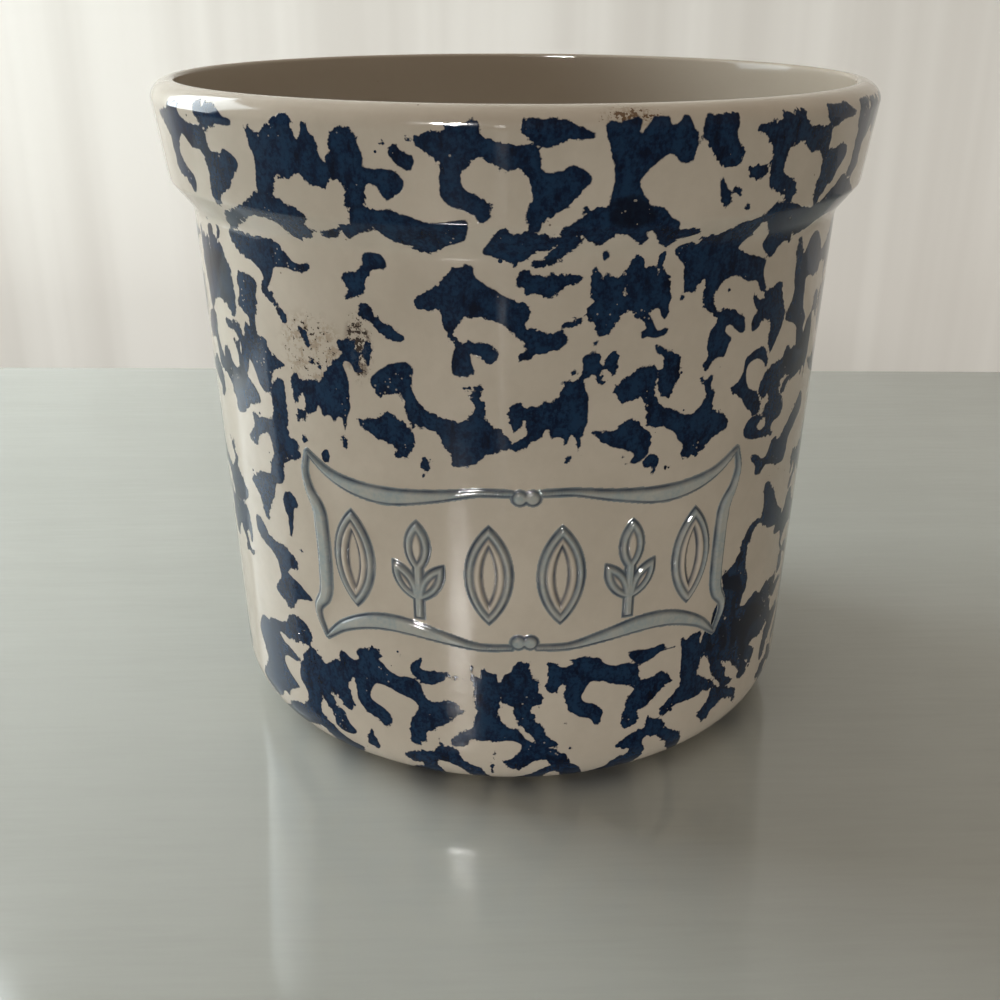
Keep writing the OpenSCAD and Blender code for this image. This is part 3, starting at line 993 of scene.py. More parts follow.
# Single touches on the front and at the sides of the label
TOUCHES = [
    [
        (-47.2, 135.7), (-45, 134.6), (-43.2, 135.7), (-41.8, 136), (-39.6, 137.8), (-38.2, 137.8),
        (-37.4, 135.7), (-36.4, 133.9), (-35.6, 136.8), (-34.6, 136.4), (-33.8, 134.6), (-33.1, 132.8),
        (-32.4, 130.3), (-31.7, 131.4), (-31.3, 134.2), (-30.6, 135.7), (-28.8, 136.4), (-26.6, 135.7),
        (-25.9, 133.5), (-25.6, 131.4), (-25.6, 129.9), (-21.6, 129.9), (-19.8, 128.8), (-19.4, 127),
        (-20.9, 125.6), (-22.3, 125.2), (-23.8, 127), (-25.5, 127.2), (-25.9, 124.5), (-27.4, 123.1),
        (-28.8, 122.7), (-29.5, 124.5), (-29.5, 126.6), (-31.7, 127.6), (-33.1, 126), (-35.3, 126.3),
        (-36.7, 127.4), (-38.2, 128.1), (-40.3, 127), (-42.1, 127.4), (-43.2, 124.2), (-45.4, 123.8),
        (-46.8, 124.2), (-46.4, 129.2), (-46.8, 132.1),
    ],
    [
        (-21.2, 133.2), (-20.2, 133.9), (-19.1, 132.8), (-17.6, 132.1), (-17.6, 130.6), (-18.4, 129.6),
        (-19.8, 130.3), (-20.9, 131.4),
    ],
    [(-23.5, 134.4), (-22.4, 134.4), (-22.3, 133.4), (-23.4, 133.3)],
    [
        (-60.5, 118.4), (-55.4, 120.2), (-50.4, 122), (-48.2, 123.8), (-45.4, 124.2), (-42.5, 123.8),
        (-41, 122.4), (-38.2, 122), (-37.4, 120.6), (-38.2, 119.1), (-35.3, 118.4), (-32.4, 119.1),
        (-32, 118), (-34.6, 117), (-37.4, 117.7), (-40.3, 116.2), (-42.5, 115.9), (-43.9, 117),
        (-44.6, 118.8), (-48.2, 119.5), (-51.1, 119.1), (-54.7, 117.7), (-57.6, 116.6), (-60.5, 115.2),
        (-62.6, 115.2),
    ],
    [
        (-28.8, 122.7), (-27.4, 123.8), (-24.5, 123.4), (-20.2, 122.7), (-15.1, 121.3), (-10.1, 122),
        (-10.1, 119.1), (-10.8, 118), (-13.7, 117), (-16.6, 115.5), (-20.2, 116.6), (-23, 117.7),
        (-25.2, 119.5), (-26.6, 119.1), (-28.8, 118.4), (-30.9, 117.2), (-31.3, 119.8), (-29.5, 120.3),
    ],
    [
        (-7.9, 115.9), (-6.5, 118.4), (-5, 120.2), (-3.6, 120.9), (-2.9, 119.8), (0, 119.8),
        (2.9, 119.5), (4.3, 118.4), (2.9, 116.6), (0.7, 115.9), (0, 114.8), (-2.9, 114.1), (-5.8, 115.2),
    ],
    [
        (4.7, 120.6), (6.5, 121.6), (7.9, 122.7), (9.4, 123.8), (11.2, 123.8), (12.2, 125.2),
        (14.4, 126), (17.3, 125.6), (18.7, 124.2), (20.9, 123.4), (22.3, 122), (23.8, 120.9),
        (24.5, 119.4), (28.1, 119.3), (28.4, 118), (25.2, 117.7), (23.8, 116.2), (21.6, 117.3),
        (20.2, 119.1), (18.7, 119.5), (19.4, 118), (18.7, 117), (17.3, 117.7), (15.8, 118.8),
        (13.7, 119.1), (12.2, 117.7), (10.1, 117.3), (8.6, 118.4), (7.9, 119.5), (7.9, 117.7),
        (5.8, 115.5), (4.3, 114.1), (2.5, 113.7), (2.5, 115.2), (4.3, 117.7),
    ],
    [(12, 124), (15, 125.4), (18, 124.8), (20, 122.4), (18.4, 120.6), (15.5, 120.4), (12.5, 121)],
    [(0.4, 114.6), (4.3, 115), (5.6, 114.3), (2.9, 113.7), (0.7, 113.5)],
    [(12.3, 115.8), (13.2, 116.2), (13.4, 114.8), (12.6, 114.4)],
    [
        (25.5, 115.2), (26.6, 116.6), (28.8, 116.4), (31, 117.6), (34.6, 118.4), (37.6, 119.6),
        (40.8, 120.6), (42, 121.6), (44, 122.4), (46.6, 122.4), (49.4, 121.4), (52.8, 120.6),
        (56, 121), (59, 122.6), (62.5, 124.6), (64.6, 125), (70, 122.4), (74, 120), (74, 117),
        (66, 117), (61, 115.4), (57, 114.6), (54.6, 115.4), (55.6, 113.6), (52, 113.6), (49.2, 111.4),
        (47.4, 112.4), (46, 114), (46.6, 116), (45, 117.6), (43, 118.8), (41.6, 118.2), (41.2, 116.2),
        (40, 114.6), (41.6, 113.4), (44, 112.4), (46.4, 111.8), (47.8, 110.8), (47.4, 109), (48, 107.4),
        (48.4, 105.6), (47.2, 105.2), (46.2, 107), (44.6, 107.6), (42, 108.2), (40.4, 109.2),
        (38, 109.2), (36, 108), (35, 106.4), (35.4, 104.6), (36.2, 103), (38.6, 103.4), (41.4, 102.2),
        (43.4, 100.8), (43.8, 98.4), (42, 98.4), (40.6, 99.6), (39, 100.4), (38.6, 99), (40.4, 97.6),
        (39.6, 96), (38.8, 94.2), (36.8, 94.4), (35.6, 93), (34.4, 91.8), (33.6, 93.4), (34.8, 95),
        (34.2, 96.8), (34.6, 98.8), (35.4, 100.2), (36.2, 101.6), (34.6, 103), (32.8, 104.6),
        (32.6, 107), (32.4, 109.6), (31.2, 108.6), (30.2, 107.2), (28.2, 108), (27.8, 110),
        (27.8, 112.6), (26.6, 113.4),
    ],
    [
        (45.2, 105.4), (47, 104), (48.6, 103.6), (49, 105), (51, 105.4), (53, 106), (54.4, 105.6),
        (54.8, 103.4), (56, 101.6), (56.6, 98.8), (55.6, 96.4), (54, 93.8), (52.8, 92.3), (51.8, 93.4),
        (51.4, 95.8), (52, 98.2), (50.8, 99.4), (49.2, 99.6), (47.8, 98.4), (46, 97.8), (45.4, 99.4),
        (46.2, 101), (47.2, 101.6), (45.8, 102.8),
    ],
    [
        (57, 98.2), (58.4, 101), (59.6, 103.4), (58.8, 106), (58.6, 109), (58.2, 113), (60, 113.4),
        (61.6, 110), (64, 112.6), (66.6, 113.8), (70, 112), (73, 107), (70, 104.6), (65, 105.2),
        (64.6, 102.6), (65.2, 99), (67.4, 96.6), (66.6, 94), (70, 91.4), (69, 89.8), (65.6, 90),
        (63.6, 92.4), (62.8, 95.4), (60.6, 96.8),
    ],
    [
        (44.6, 90), (45, 92.6), (46.6, 93.6), (50, 94.2), (51.4, 93), (52.6, 90.4), (51.8, 89.8),
        (50, 91.6), (47.6, 92), (45.8, 91), (45.8, 88.6), (47, 86.6), (49.6, 85.2), (51, 83.6),
        (51.8, 81.4), (50.4, 80.2), (48.4, 81.2), (46.4, 83.2), (44.4, 85.4), (42, 86.4), (41.8, 87.6),
        (43.4, 88.6),
    ],
    [
        (50, 85.4), (51, 87.4), (53, 89.4), (56, 90), (60, 90.4), (62.4, 91.2), (63.2, 89.6),
        (63.6, 88), (66, 87.6), (69, 88.8), (71, 87), (68, 85.2), (63, 84.4), (61, 86.2), (58.6, 85.6),
        (58, 84), (60, 81.8), (61.4, 79), (60.6, 77.8), (58.6, 77.6), (57, 76.4), (58, 74.6),
        (55, 74.6), (51, 75), (48, 76), (46.8, 77.6), (47.6, 79.4), (50, 80), (52.6, 79), (51.4, 77.8),
        (52, 76.8), (53.8, 76.8), (54.2, 78.4), (52.8, 79.8), (53.2, 81.4), (54.2, 82.4), (53.8, 83.4),
        (52, 83.6), (50.8, 84.2),
    ],
    [
        (50.6, 71.8), (53, 71.2), (55, 69.8), (57, 71), (58.6, 73.6), (61, 72.4), (64, 74.4), (67, 76.4),
        (70, 78.6), (72, 80), (74, 76), (70, 73), (67, 71), (66.4, 68), (65, 66.2), (60, 67),
        (57, 68), (54.6, 66.6), (52.6, 67), (52.4, 69), (50.8, 70.4),
    ],
    [
        (-63.7, 114.8), (-57.6, 115.2), (-54, 114.8), (-50.4, 115.2), (-48.2, 114.1), (-46.1, 112.6),
        (-43.2, 111.2), (-41, 111.6), (-41, 110.5), (-43.9, 109.8), (-46.8, 110.1), (-49.7, 109.8),
        (-50.4, 108.3), (-51.8, 106.2), (-52.6, 104.7), (-54, 105.4), (-53.3, 107.6), (-54.7, 109),
        (-57.6, 110.1), (-61.2, 111.2), (-63, 112.6),
    ],
    [
        (-54, 104.7), (-51.1, 105.1), (-50.4, 103.3), (-47.5, 101.1), (-47.5, 99.7), (-49, 99.7),
        (-50.4, 101.8), (-52.6, 103.6),
    ],
    [(-45, 99.8), (-43.9, 99.8), (-42.6, 97.6), (-42.2, 96.2), (-43.2, 96.6), (-44.4, 98)],
    [
        (-28.8, 114.8), (-25.9, 114.8), (-24.8, 113), (-25.9, 112.3), (-27.7, 111.6), (-28.8, 109.8),
        (-29.5, 107.6), (-31.7, 106.5), (-33.1, 106.5), (-32.8, 108.3), (-33.8, 109.4), (-33.5, 110.8),
        (-31, 111.2), (-29.5, 112.6), (-29.5, 113.7),
    ],
    [
        (-30.6, 105.4), (-28.8, 105.4), (-27.4, 104), (-24.5, 102.2), (-22.3, 100.4), (-22.7, 99.3),
        (-25.2, 99.7), (-28.1, 101.8), (-30.2, 103.3),
    ],
    [
        (-62.5, 107), (-56, 106.4), (-56.5, 103), (-57, 100), (-57.2, 96), (-54.5, 95), (-53, 92.5),
        (-50.5, 91.5), (-50, 90.5), (-52, 90), (-53.5, 88.5), (-54, 87), (-55.5, 84.5), (-57, 84.3),
        (-58.5, 85.5), (-59.5, 87.5), (-61.5, 90), (-62.2, 88), (-63.5, 85.5), (-66, 82.5),
        (-70, 81.5), (-71, 84), (-75, 84.5), (-74, 89), (-72, 90), (-70, 87.5), (-67.5, 86.5),
        (-66, 88), (-64.5, 91), (-65, 93), (-67, 94.3), (-70, 94.5), (-71, 95.7), (-67, 96.2),
        (-65.5, 97), (-64, 96), (-63, 94), (-61.5, 97.5), (-60, 97), (-60.5, 99), (-63.5, 100.3),
        (-62.5, 103),
    ],
    [
        (-80, 108), (-72, 110), (-66, 108), (-65, 104), (-64.5, 101), (-65.5, 98), (-67, 97.6),
        (-69, 99), (-75, 99.5), (-80, 96),
    ],
    [
        (-62.5, 78.5), (-58, 78.5), (-55, 79.5), (-54.5, 82), (-55, 85), (-53, 87.5), (-51, 87.8),
        (-50, 87), (-50, 84), (-50.2, 80), (-50, 76.5), (-48.5, 76.5), (-47.5, 75), (-48.5, 74),
        (-47.3, 73.5), (-48, 72.3), (-50.5, 71.5), (-52.5, 70), (-53.5, 66), (-56, 65), (-58, 66),
        (-57.5, 69), (-56, 71), (-56.5, 74), (-58.5, 75.3), (-60.5, 74.5), (-62, 72), (-63.5, 71.5),
        (-65.5, 73), (-63, 75), (-62.8, 77),
    ],
    [
        (-67, 63), (-63, 65.5), (-59, 66.4), (-56, 66), (-57.2, 62.5), (-58.5, 60), (-60, 57.5),
        (-61, 55.2), (-62.5, 57), (-63.5, 60), (-65.5, 61.5),
    ],
    [
        (-54.5, 62), (-53.5, 63.8), (-51.5, 64.3), (-50, 63), (-49.5, 61.5), (-51, 60.8),
        (-51.5, 58.5), (-52.3, 55), (-53, 54), (-53.5, 56), (-53.3, 58.5), (-54.3, 60),
    ],
    [
        (-67, 54.4), (-64, 54.3), (-62, 52), (-58, 51), (-55, 51), (-54, 50), (-52.5, 49.5),
        (-51.5, 48), (-51.8, 46.5), (-54, 46.5), (-55.5, 45), (-53, 44), (-50, 42.5), (-47.8, 41),
        (-50, 40.3), (-53, 39.5), (-54.4, 37), (-56.4, 36), (-58, 37.6), (-61, 39), (-60, 41),
        (-58.5, 43), (-59, 46), (-61, 48), (-64, 49), (-67, 51),
    ],
    [
        (-66, 30), (-62, 31), (-58, 32.5), (-56, 34.8), (-52, 35), (-49.8, 33.5), (-49.2, 31),
        (-51, 29), (-53, 28.6), (-58, 28.2), (-62, 28.5), (-66, 27),
    ],
    [
        (-49.9, 29.4), (-48.1, 28.5), (-46, 26.9), (-44.6, 27.3), (-42.8, 28.7), (-41.4, 28.7),
        (-40.6, 27.3), (-40.3, 24.8), (-39.2, 22.6), (-38.5, 20.1), (-38.9, 18), (-39.9, 17.1),
        (-41.4, 18), (-42.4, 19.4), (-43.9, 20.1), (-44.6, 19.4), (-43.1, 17.6), (-41, 15.9),
        (-39.9, 13.7), (-38.1, 12.3), (-39.6, 11), (-41.7, 11), (-43.9, 11.9), (-44.6, 14), (-46, 16.4),
        (-47.6, 17.9), (-48.3, 15.9), (-48.1, 13.7), (-44.6, 10.9), (-41, 8.7), (-37.8, 7.6),
        (-38.9, 5.5), (-43.1, 2.3), (-51.7, 1.4), (-50, 3.4), (-47.4, 5.9), (-47.4, 7.6), (-48.9, 9.1),
        (-51.7, 8.4), (-54.2, 7.6), (-58.9, 5.9), (-64.9, 2.8), (-68, 3), (-66, 6.9), (-62.4, 9.1),
        (-58.9, 11.9), (-54.2, 13.4), (-52.8, 15.1), (-53.1, 17.3), (-54.6, 19.1), (-54.9, 21.2),
        (-54.2, 23.4), (-53.5, 25.1), (-51.7, 27.3),
    ],
    [
        (-70, 29), (-64.9, 28.7), (-62.4, 28.4), (-60.6, 26.9), (-57.8, 25.9), (-54.6, 24.8),
        (-54.9, 23.4), (-58.9, 23.4), (-60.6, 22.6), (-60.6, 20.9), (-58.9, 19.1), (-55.6, 16.9),
        (-57.1, 15.9), (-59.6, 14.4), (-60.3, 12.6), (-62.4, 13), (-64.9, 10.1), (-69, 9.4),
        (-74, 12), (-70, 18), (-73, 24),
    ],
    [(-35.4, 10), (-34.8, 13), (-34, 14.2), (-33.2, 12.6), (-32.3, 9.6), (-33.6, 9.2)],
    [(-26.2, 9.6), (-25, 11.2), (-23.4, 11.7), (-23.4, 9.8), (-24.4, 7.6)],
    [(-6.9, 6.8), (-6.9, 10), (-6.3, 13.3), (-5.8, 13.2), (-6.3, 9.6), (-6.5, 6.8)],
    [
        (23.2, 98.6), (24.6, 98), (26.4, 97.4), (28.2, 96.2), (28.9, 94), (28.4, 91), (27.2, 88.8),
        (25.6, 88.6), (24.4, 90.5), (24.2, 93), (25.2, 95), (24.8, 96.4), (23.6, 97),
    ],
    [
        (4.6, 12.4), (7, 11.8), (10, 9.8), (12.5, 8), (14, 5), (16, 1.6), (11, 1.6), (9.2, 4.4),
        (7.8, 6.8), (5.4, 6), (5, 3.6), (4.6, 1.6), (-3, 1.6), (-2.8, 4), (0, 5.2), (2.4, 6.4),
        (3.6, 8), (5.8, 9.2), (5.4, 11),
    ],
    [
        (57.6, 62), (58, 63.5), (60, 63), (63, 60), (66, 56), (70, 53), (68, 51), (62, 52),
        (58, 54.5), (55.5, 53.5), (53.8, 51), (53.6, 47), (55, 43), (54.6, 39.6), (52, 40), (48.5, 42),
        (46, 43), (45.8, 46.6), (48, 47.5), (49.8, 49), (51, 53), (54, 55.5), (57, 56), (58.6, 58),
    ],
    [
        (45.2, 47), (47, 47.4), (48, 45.6), (50, 45.6), (52, 43.6), (53.6, 40.6), (53.8, 38),
        (52.4, 36), (49.6, 35.2), (47.4, 36.6), (46.8, 38.4), (45.4, 38), (45.2, 35.2), (44, 33.4),
        (44.4, 31.4), (45.4, 29.6), (43.8, 28.6), (42.4, 29.8), (42.6, 32.4), (43, 35.4), (43.4, 38),
        (44.8, 40.4), (45.8, 43),
    ],
    [
        (46.6, 34), (50, 36), (54, 36.4), (58, 35.5), (62, 36.5), (66, 38), (72, 36), (70, 33),
        (66, 32), (65, 30), (67, 28), (69, 26), (66, 24.5), (62, 25), (59, 24), (58, 22),
        (59.5, 20), (60, 17.5), (56, 17.3), (56, 19.5), (54, 21.5), (51, 24), (48, 25), (46.5, 27),
        (47.5, 30), (46.2, 32),
    ],
    [(-19.6, 77.6), (-18.2, 77.4), (-17.6, 76.4), (-18.4, 75), (-19.6, 73.6), (-19.4, 75.4)],
    [
        (22.2, 76.4), (24, 77.3), (25.6, 76.6), (25.6, 74.8), (24.6, 73.2), (23.8, 71.8), (24.2, 73.8),
        (24.4, 75), (22.8, 74.8),
    ],
    [(5.6, 103.2), (7.2, 103.8), (9.6, 104.6), (9, 103.6), (7.4, 102.8), (6, 102.6)],
    [(30.3, 128.6), (31.4, 127), (32.6, 125), (32.9, 123.2), (31.6, 123), (30.6, 125), (30.1, 127)],
    [(33, 126.6), (34.6, 125.6), (35.4, 124.6), (34, 124.6), (33.2, 125.6)],
    [(35.4, 128.4), (37, 129.4), (39.4, 129.2), (39.9, 127.9), (38.4, 127), (36, 127.4)],
    [(-36.2, 97.8), (-35, 98.6), (-34.6, 96.8), (-35.4, 96.4)],
    [(-26.2, 113.2), (-25, 113.4), (-24.8, 112.4), (-25.8, 112.2)],
]

# Round drips: (along, height, radius)
DRIPS = [
    (7.6, 78, 0.9), (8.4, 123.6, 0.55), (-8.4, 128, 0.3), (-46, 77, 0.75), (-40.6, 74.6, 1.1),
    (-35.7, 78.4, 1.0), (-44.9, 62, 0.3), (27.6, 74.1, 0.6), (13, 121.6, 0.4), (-27, 36.4, 0.3),
    (-34.4, 97, 0.5), (9.1, 19.6, 0.45), (10.2, 13.6, 0.4), (36.4, 122.4, 0.35),
    (-42, 93.2, 0.45), (-40.2, 92.6, 0.5), (-50.2, 51.6, 0.4), (8.3, 94.6, 0.5), (6.4, 92.4, 0.6),
    (11.9, 99.8, 0.45), (11.7, 98.8, 0.35), (18.3, 77.6, 0.4), (19, 76.1, 0.4), (28, 106.5, 0.5),
    (38.4, 106.4, 0.35), (-26, 34, 0.3), (20, 96.6, 0.3),
]

# Each row: its dab, how far below its set place it lies, the shifts (along, up) of the dabs on the front
# and at the sides, and where the dabs round the back start and end, with their pitch
ROWS = [
    (COLLAR_DAB, 0, [(0, 0), (54, 0.6)], (54, 355, 56)),
    (COLLAR_DAB[:2], 0, [(-59.5, 0)], None),
    (UPPER_DAB, 0, [(0, 0), (92, 1)], (92, 385, 48)),
    (MIDDLE_DAB, 0, [(-44.8, 0.8), (0, 0), (62, 3)], (62, 370, 44.5)),
    (LOW_DAB, 0, [(-46, -3.2), (0, 0), (46, 0)], (46, 335, 46)),
    (MIDDLE_DAB, 22.5, [(75, 0), (-112, 0)], (75, 315, 48)),
    (UPPER_DAB, 57, [(86, 0), (-96, 0)], (86, 331, 49)),
    (COLLAR_DAB, 11.5, [], (84, 335, 50)),
]
# How far a dab round the back strays from its place, and how far it turns, in degrees
STRAY = 1.5
STRAY_TURN = 8
# The blue stops below the lip, and keeps off this half width and half height of the label
BLUE_TOP = CREST_Z - 1.7
LABEL_REACH = (43.5, 19)
# Points this near the outer outline count as the outside
OUTSIDE_T = 1.5
# How far outside a blot its depth is still worked out
SPONGE_REACH = 3.0


def smooth_loop(points, steps=4):
    """A closed smooth curve through given points."""
    p = np.array(points, float)
    before, after, beyond = np.roll(p, 1, 0), np.roll(p, -1, 0), np.roll(p, -2, 0)
    curve = []
    for t in np.arange(steps) / steps:
        bend = 2 * before - 5 * p + 4 * after - beyond
        curve.append(p + 0.5 * t * (after - before + t * (bend + t * (3 * (p - after) + beyond - before))))
    return np.stack(curve, 1).reshape(-1, 2)


def depth_inside(outline, place):
    """How far each place lies inside a closed outline, below zero outside."""
    level = 1e-9
    a = outline
    b = np.roll(outline, -1, 0)
    run = b - a
    off = place[:, None, :] - a[None]
    t = np.clip((off * run).sum(2) / (run * run).sum(1), 0, 1)
    gap = np.sqrt(((off - t[..., None] * run) ** 2).sum(2).min(1))
    above_a = a[:, 1] > place[:, 1, None]
    above_b = b[:, 1] > place[:, 1, None]
    steep = np.where(np.abs(run[:, 1]) < level, level, run[:, 1])
    cross = a[:, 0] + (place[:, 1, None] - a[:, 1]) * run[:, 0] / steep
    crossings = ((above_a != above_b) & (place[:, 0, None] < cross)).sum(1)
    return np.where(crossings % 2 == 1, gap, -gap)


def dabbed(blots, along, up, degrees):
    """The smooth outlines of one dab, turned about its middle and moved along and up the wall."""
    every = np.vstack([np.asarray(blot, float) for blot in blots])
    middle = (every.min(0) + every.max(0)) / 2
    angle = math.radians(degrees)
    spin = np.array([[math.cos(angle), math.sin(angle)], [-math.sin(angle), math.cos(angle)]])
    return [(smooth_loop(blot) - middle) @ spin + middle + (along, up) for blot in blots]


def around_the_back(first, last, pitch, rng):
    """Shifts of evenly pitched dabs between two places, each a little off by hand."""
    count = max(1, round((last - first) / pitch) - 1)
    for i in range(1, count + 1):
        along = first + (last - first) * i / (count + 1) + rng.uniform(-STRAY, STRAY)
        yield along, rng.uniform(-STRAY, STRAY), rng.uniform(-STRAY_TURN, STRAY_TURN)


def outlines():
    """Every blot on the crock: the single touches, then each row on the front and round the back."""
    rng = np.random.default_rng(7)
    blots = [smooth_loop(touch) for touch in TOUCHES]
    for dab, drop, front, back in ROWS:
        shifts = [(along, up, 0) for along, up in front]
        if back:
            shifts += around_the_back(*back, rng)
        for along, up, turn in shifts:
            blots += dabbed(dab, along, up - drop, turn)
    return blots


class Blots:
    """The blue on one mesh: how deep each point lies in the nearest blot, and in the next."""

    def __init__(self, place, outside):
        self.place = place
        self.outside = outside
        self.first = np.full(len(place), -SPONGE_REACH)
        self.second = np.full(len(place), -SPONGE_REACH)

    def near(self, low, high):
        """Points within reach of a box, with their places unrolled next to it."""
        middle = (low[0] + high[0]) / 2
        along = self.place[:, 0] + ROUND * np.round((middle - self.place[:, 0]) / ROUND)
        inside = (
            self.outside
            & (along > low[0] - SPONGE_REACH) & (along < high[0] + SPONGE_REACH)
            & (self.place[:, 1] > low[1] - SPONGE_REACH) & (self.place[:, 1] < high[1] + SPONGE_REACH)
        )
        picked = np.flatnonzero(inside)
        return picked, np.stack([along[picked], self.place[picked, 1]], 1)

    def keep(self, picked, depth):
        """Keeps the two deepest values at the picked points."""
        self.second[picked] = np.maximum(self.second[picked], np.minimum(self.first[picked], depth))
        self.first[picked] = np.maximum(self.first[picked], depth)

    def blot(self, outline):
        """Adds one blot."""
        picked, place = self.near(outline.min(0), outline.max(0))
        if len(picked):
            self.keep(picked, depth_inside(outline, place))

    def drip(self, middle, size):
        """Adds one round drip."""
        picked, place = self.near(np.subtract(middle, size), np.add(middle, size))
        if len(picked):
            self.keep(picked, size - np.hypot(*(place - middle).T))

    def clear(self, middle, reach):
        """Wipes the blue off a rectangle."""
        picked, place = self.near(np.subtract(middle, reach), np.add(middle, reach))
        if len(picked):
            off = np.abs(place - middle) - reach
            away = np.where(off.max(1) < 0, off.max(1), np.hypot(*np.maximum(off, 0).T))
            self.first[picked] = np.minimum(self.first[picked], away)


def outer_radius(height):
    """Radius of the crock's outside at each height, from the foot to the widest part of the lip."""
    radii, heights = zip(*heel_arc(), COLLAR_STEP, COLLAR_CORNER, COLLAR_WIDEST)
    return np.interp(height, heights, radii)


def sponge_on(mesh):
    """Stores the sponge pattern and the inside of the crock on a turned piece."""
    points = points_of(mesh)
    radius = np.hypot(points[:, 0], points[:, 1])
    along = np.arctan2(points[:, 0], -points[:, 1]) * ROUND_R
    height = points[:, 2]
    bound = np.minimum(outer_radius(height) - OUTSIDE_T, MOUTH_R + 1)
    outside = (radius > bound) & (height > FOOT_TOP_Z - 0.1)
    blots = Blots(np.stack([along, height], 1), outside)
    for outline in outlines():
        blots.blot(outline)
    for *middle, size in DRIPS:
        blots.drip(middle, size)
    blots.clear((0, LABEL_Z), LABEL_REACH)
    blots.first = np.clip(blots.first, -SPONGE_REACH, np.maximum(BLUE_TOP - height, -SPONGE_REACH))
    stored(mesh, "sponge", blots.first)
    stored(mesh, "sponge_lap", blots.second)
    # The inside of the crock, where painted shade darkens the glaze
    stored(mesh, "within", (radius < bound) & (height > FOOT_TOP_Z + 1))


# ---------------------------------------------------------------- the relief patches

# The clasps' width and height, and their heights from the label's middle
CLASP_W = 5.4
CLASP_H = 3
CLASP_TOP_Y = 16.4
CLASP_BOTTOM_Y = -14.6

# Middle lines of the frame's strips on the right: (along, up, width), about the label's middle
TOP_STRIP = [
    (CLASP_W / 2, 17.3, 1.2), (9, 17.3, 1.4), (17, 16, 2.2), (26, 14.9, 3.2),
    (33, 15.4, 2.9), (39, 17.2, 1.9), (44.2, 20.5, 1),
]
BOTTOM_STRIP = [
    (CLASP_W / 2, -15.8, 1.2), (9, -15.8, 1.4), (16, -14.3, 2.4), (24, -12.8, 3.4),
    (31, -13.2, 3.2), (38, -16, 2.2), (43, -20, 1),
]
SIDE_STRIP = [
    (44.4, 20.3, 1), (45.3, 16.4, 1.4), (44.5, 12.6, 2), (42.6, 9, 2.9), (42.1, 5, 3.1),
    (42.1, -6, 3.1), (42.8, -10.4, 2.8), (44.7, -13.2, 1.9), (44.9, -15.6, 1.4), (43.2, -19.9, 1),
]


def smooth_line(points, steps=14):
    """An open smooth curve through given points of any dimension."""
    p = np.array(points, float)
    p = np.vstack([2 * p[0] - p[1], p, 2 * p[-1] - p[-2]])
    curve = []
    for i in range(1, len(p) - 2):
        for t in np.arange(steps) / steps:
            bend = 2 * p[i - 1] - 5 * p[i] + 4 * p[i + 1] - p[i + 2]
            rest = bend + t * (3 * (p[i] - p[i + 1]) + p[i + 2] - p[i - 1])
            curve.append(p[i] + 0.5 * t * (p[i + 1] - p[i - 1] + t * rest))
    return np.array([*curve, p[-2]])


def in_strip(stations, side):
    """Depth inside a strip of changing width, on the right (1) or the left (-1)."""
    line = smooth_line(stations)
    line[:, 0] *= side

    def depth(place):
        off = place[:, None, :] - line[None, :, :2]
        return (line[:, 2] / 2 - np.sqrt((off ** 2).sum(2))).max(1)

    return depth


def in_clasp(y):
    """Depth inside the small bow that ties two strips: two lobes and a pinched waist."""
    lobe_w = CLASP_W * 0.28
    lobe_h = CLASP_H / 2
    waist_h = CLASP_H * 0.3

    def depth(place):
        x = np.abs(place[:, 0])
        up = place[:, 1] - y
        lobes = (1 - np.hypot((x - (CLASP_W / 2 - lobe_w)) / lobe_w, up / lobe_h)) * lobe_w
        waist = np.minimum(CLASP_W / 2 - 1 - x, waist_h - np.abs(up))
        return np.maximum(lobes, waist)

    return depth


def in_pointed_oval(place, height, width, middle=(0, 0), turn=0):
    """Depth inside a pointed oval that two arcs draw."""
    angle = math.radians(turn)
    x = place[:, 0] - middle[0]
    y = place[:, 1] - middle[1]
    across = x * math.cos(angle) + y * math.sin(angle)
    up = y * math.cos(angle) - x * math.sin(angle)
    radius = (height ** 2 + width ** 2) / (4 * width)
    off = radius - width / 2
    return radius - np.maximum(np.hypot(across - off, up), np.hypot(across + off, up))


def in_leaf_outline(place):
    """Depth inside the leaf's outer outline."""
    return in_pointed_oval(place, FIGURE_H, LEAF_W)


def in_leaf(place):
    """Depth inside a pointed leaf with a slot down its middle."""
    slot = in_pointed_oval(place, FIGURE_H * 0.58, LEAF_W * 0.3)
    return np.minimum(in_leaf_outline(place), -slot)


def in_sprig(place):
    """Depth inside a sprig: one leaf on top, two at the sides, and the stem."""
    depth = in_pointed_oval(place, FIGURE_H * 0.52, LEAF_W * 0.55, (0, FIGURE_H * 0.24))
    for side in (-1, 1):
        middle = (side * LEAF_W * 0.28, -FIGURE_H * 0.12)
        leaf = in_pointed_oval(place, FIGURE_H * 0.46, LEAF_W * 0.44, middle, -side * 32)
        depth = np.maximum(depth, leaf)
    x = np.abs(place[:, 0])
    stem = np.minimum(1 - x, FIGURE_H * 0.3 - np.abs(place[:, 1] + FIGURE_H * 0.2))
    return np.maximum(depth, stem)


# How a raised edge is shaped, in millimetres from its foot
EDGE_RUN = 0.7
# The thin skirt round it: its level part, its full width, its height, and how deep it dips
SKIRT_LEVEL = 0.4
SKIRT = 0.62
SKIRT_H = 0.1
UNDER = 0.7
# The scored line inside a figure's edge: its place, width, depth, and how dark the wash is in it
GROOVE_AT = 1.45
GROOVE_W = 0.34
GROOVE_DEPTH = 0.35
GROOVE_WASH = 0.85
FILM_FADE = 0.3
# The line of pooled wash along the foot
FOOT_LINE_AT = 0.06
FOOT_LINE_W = 0.34


def bell(value, middle, width):
    """A soft line: 1 at its middle, falling to nothing either side."""
    return np.exp(-(((value - middle) / width) ** 2))


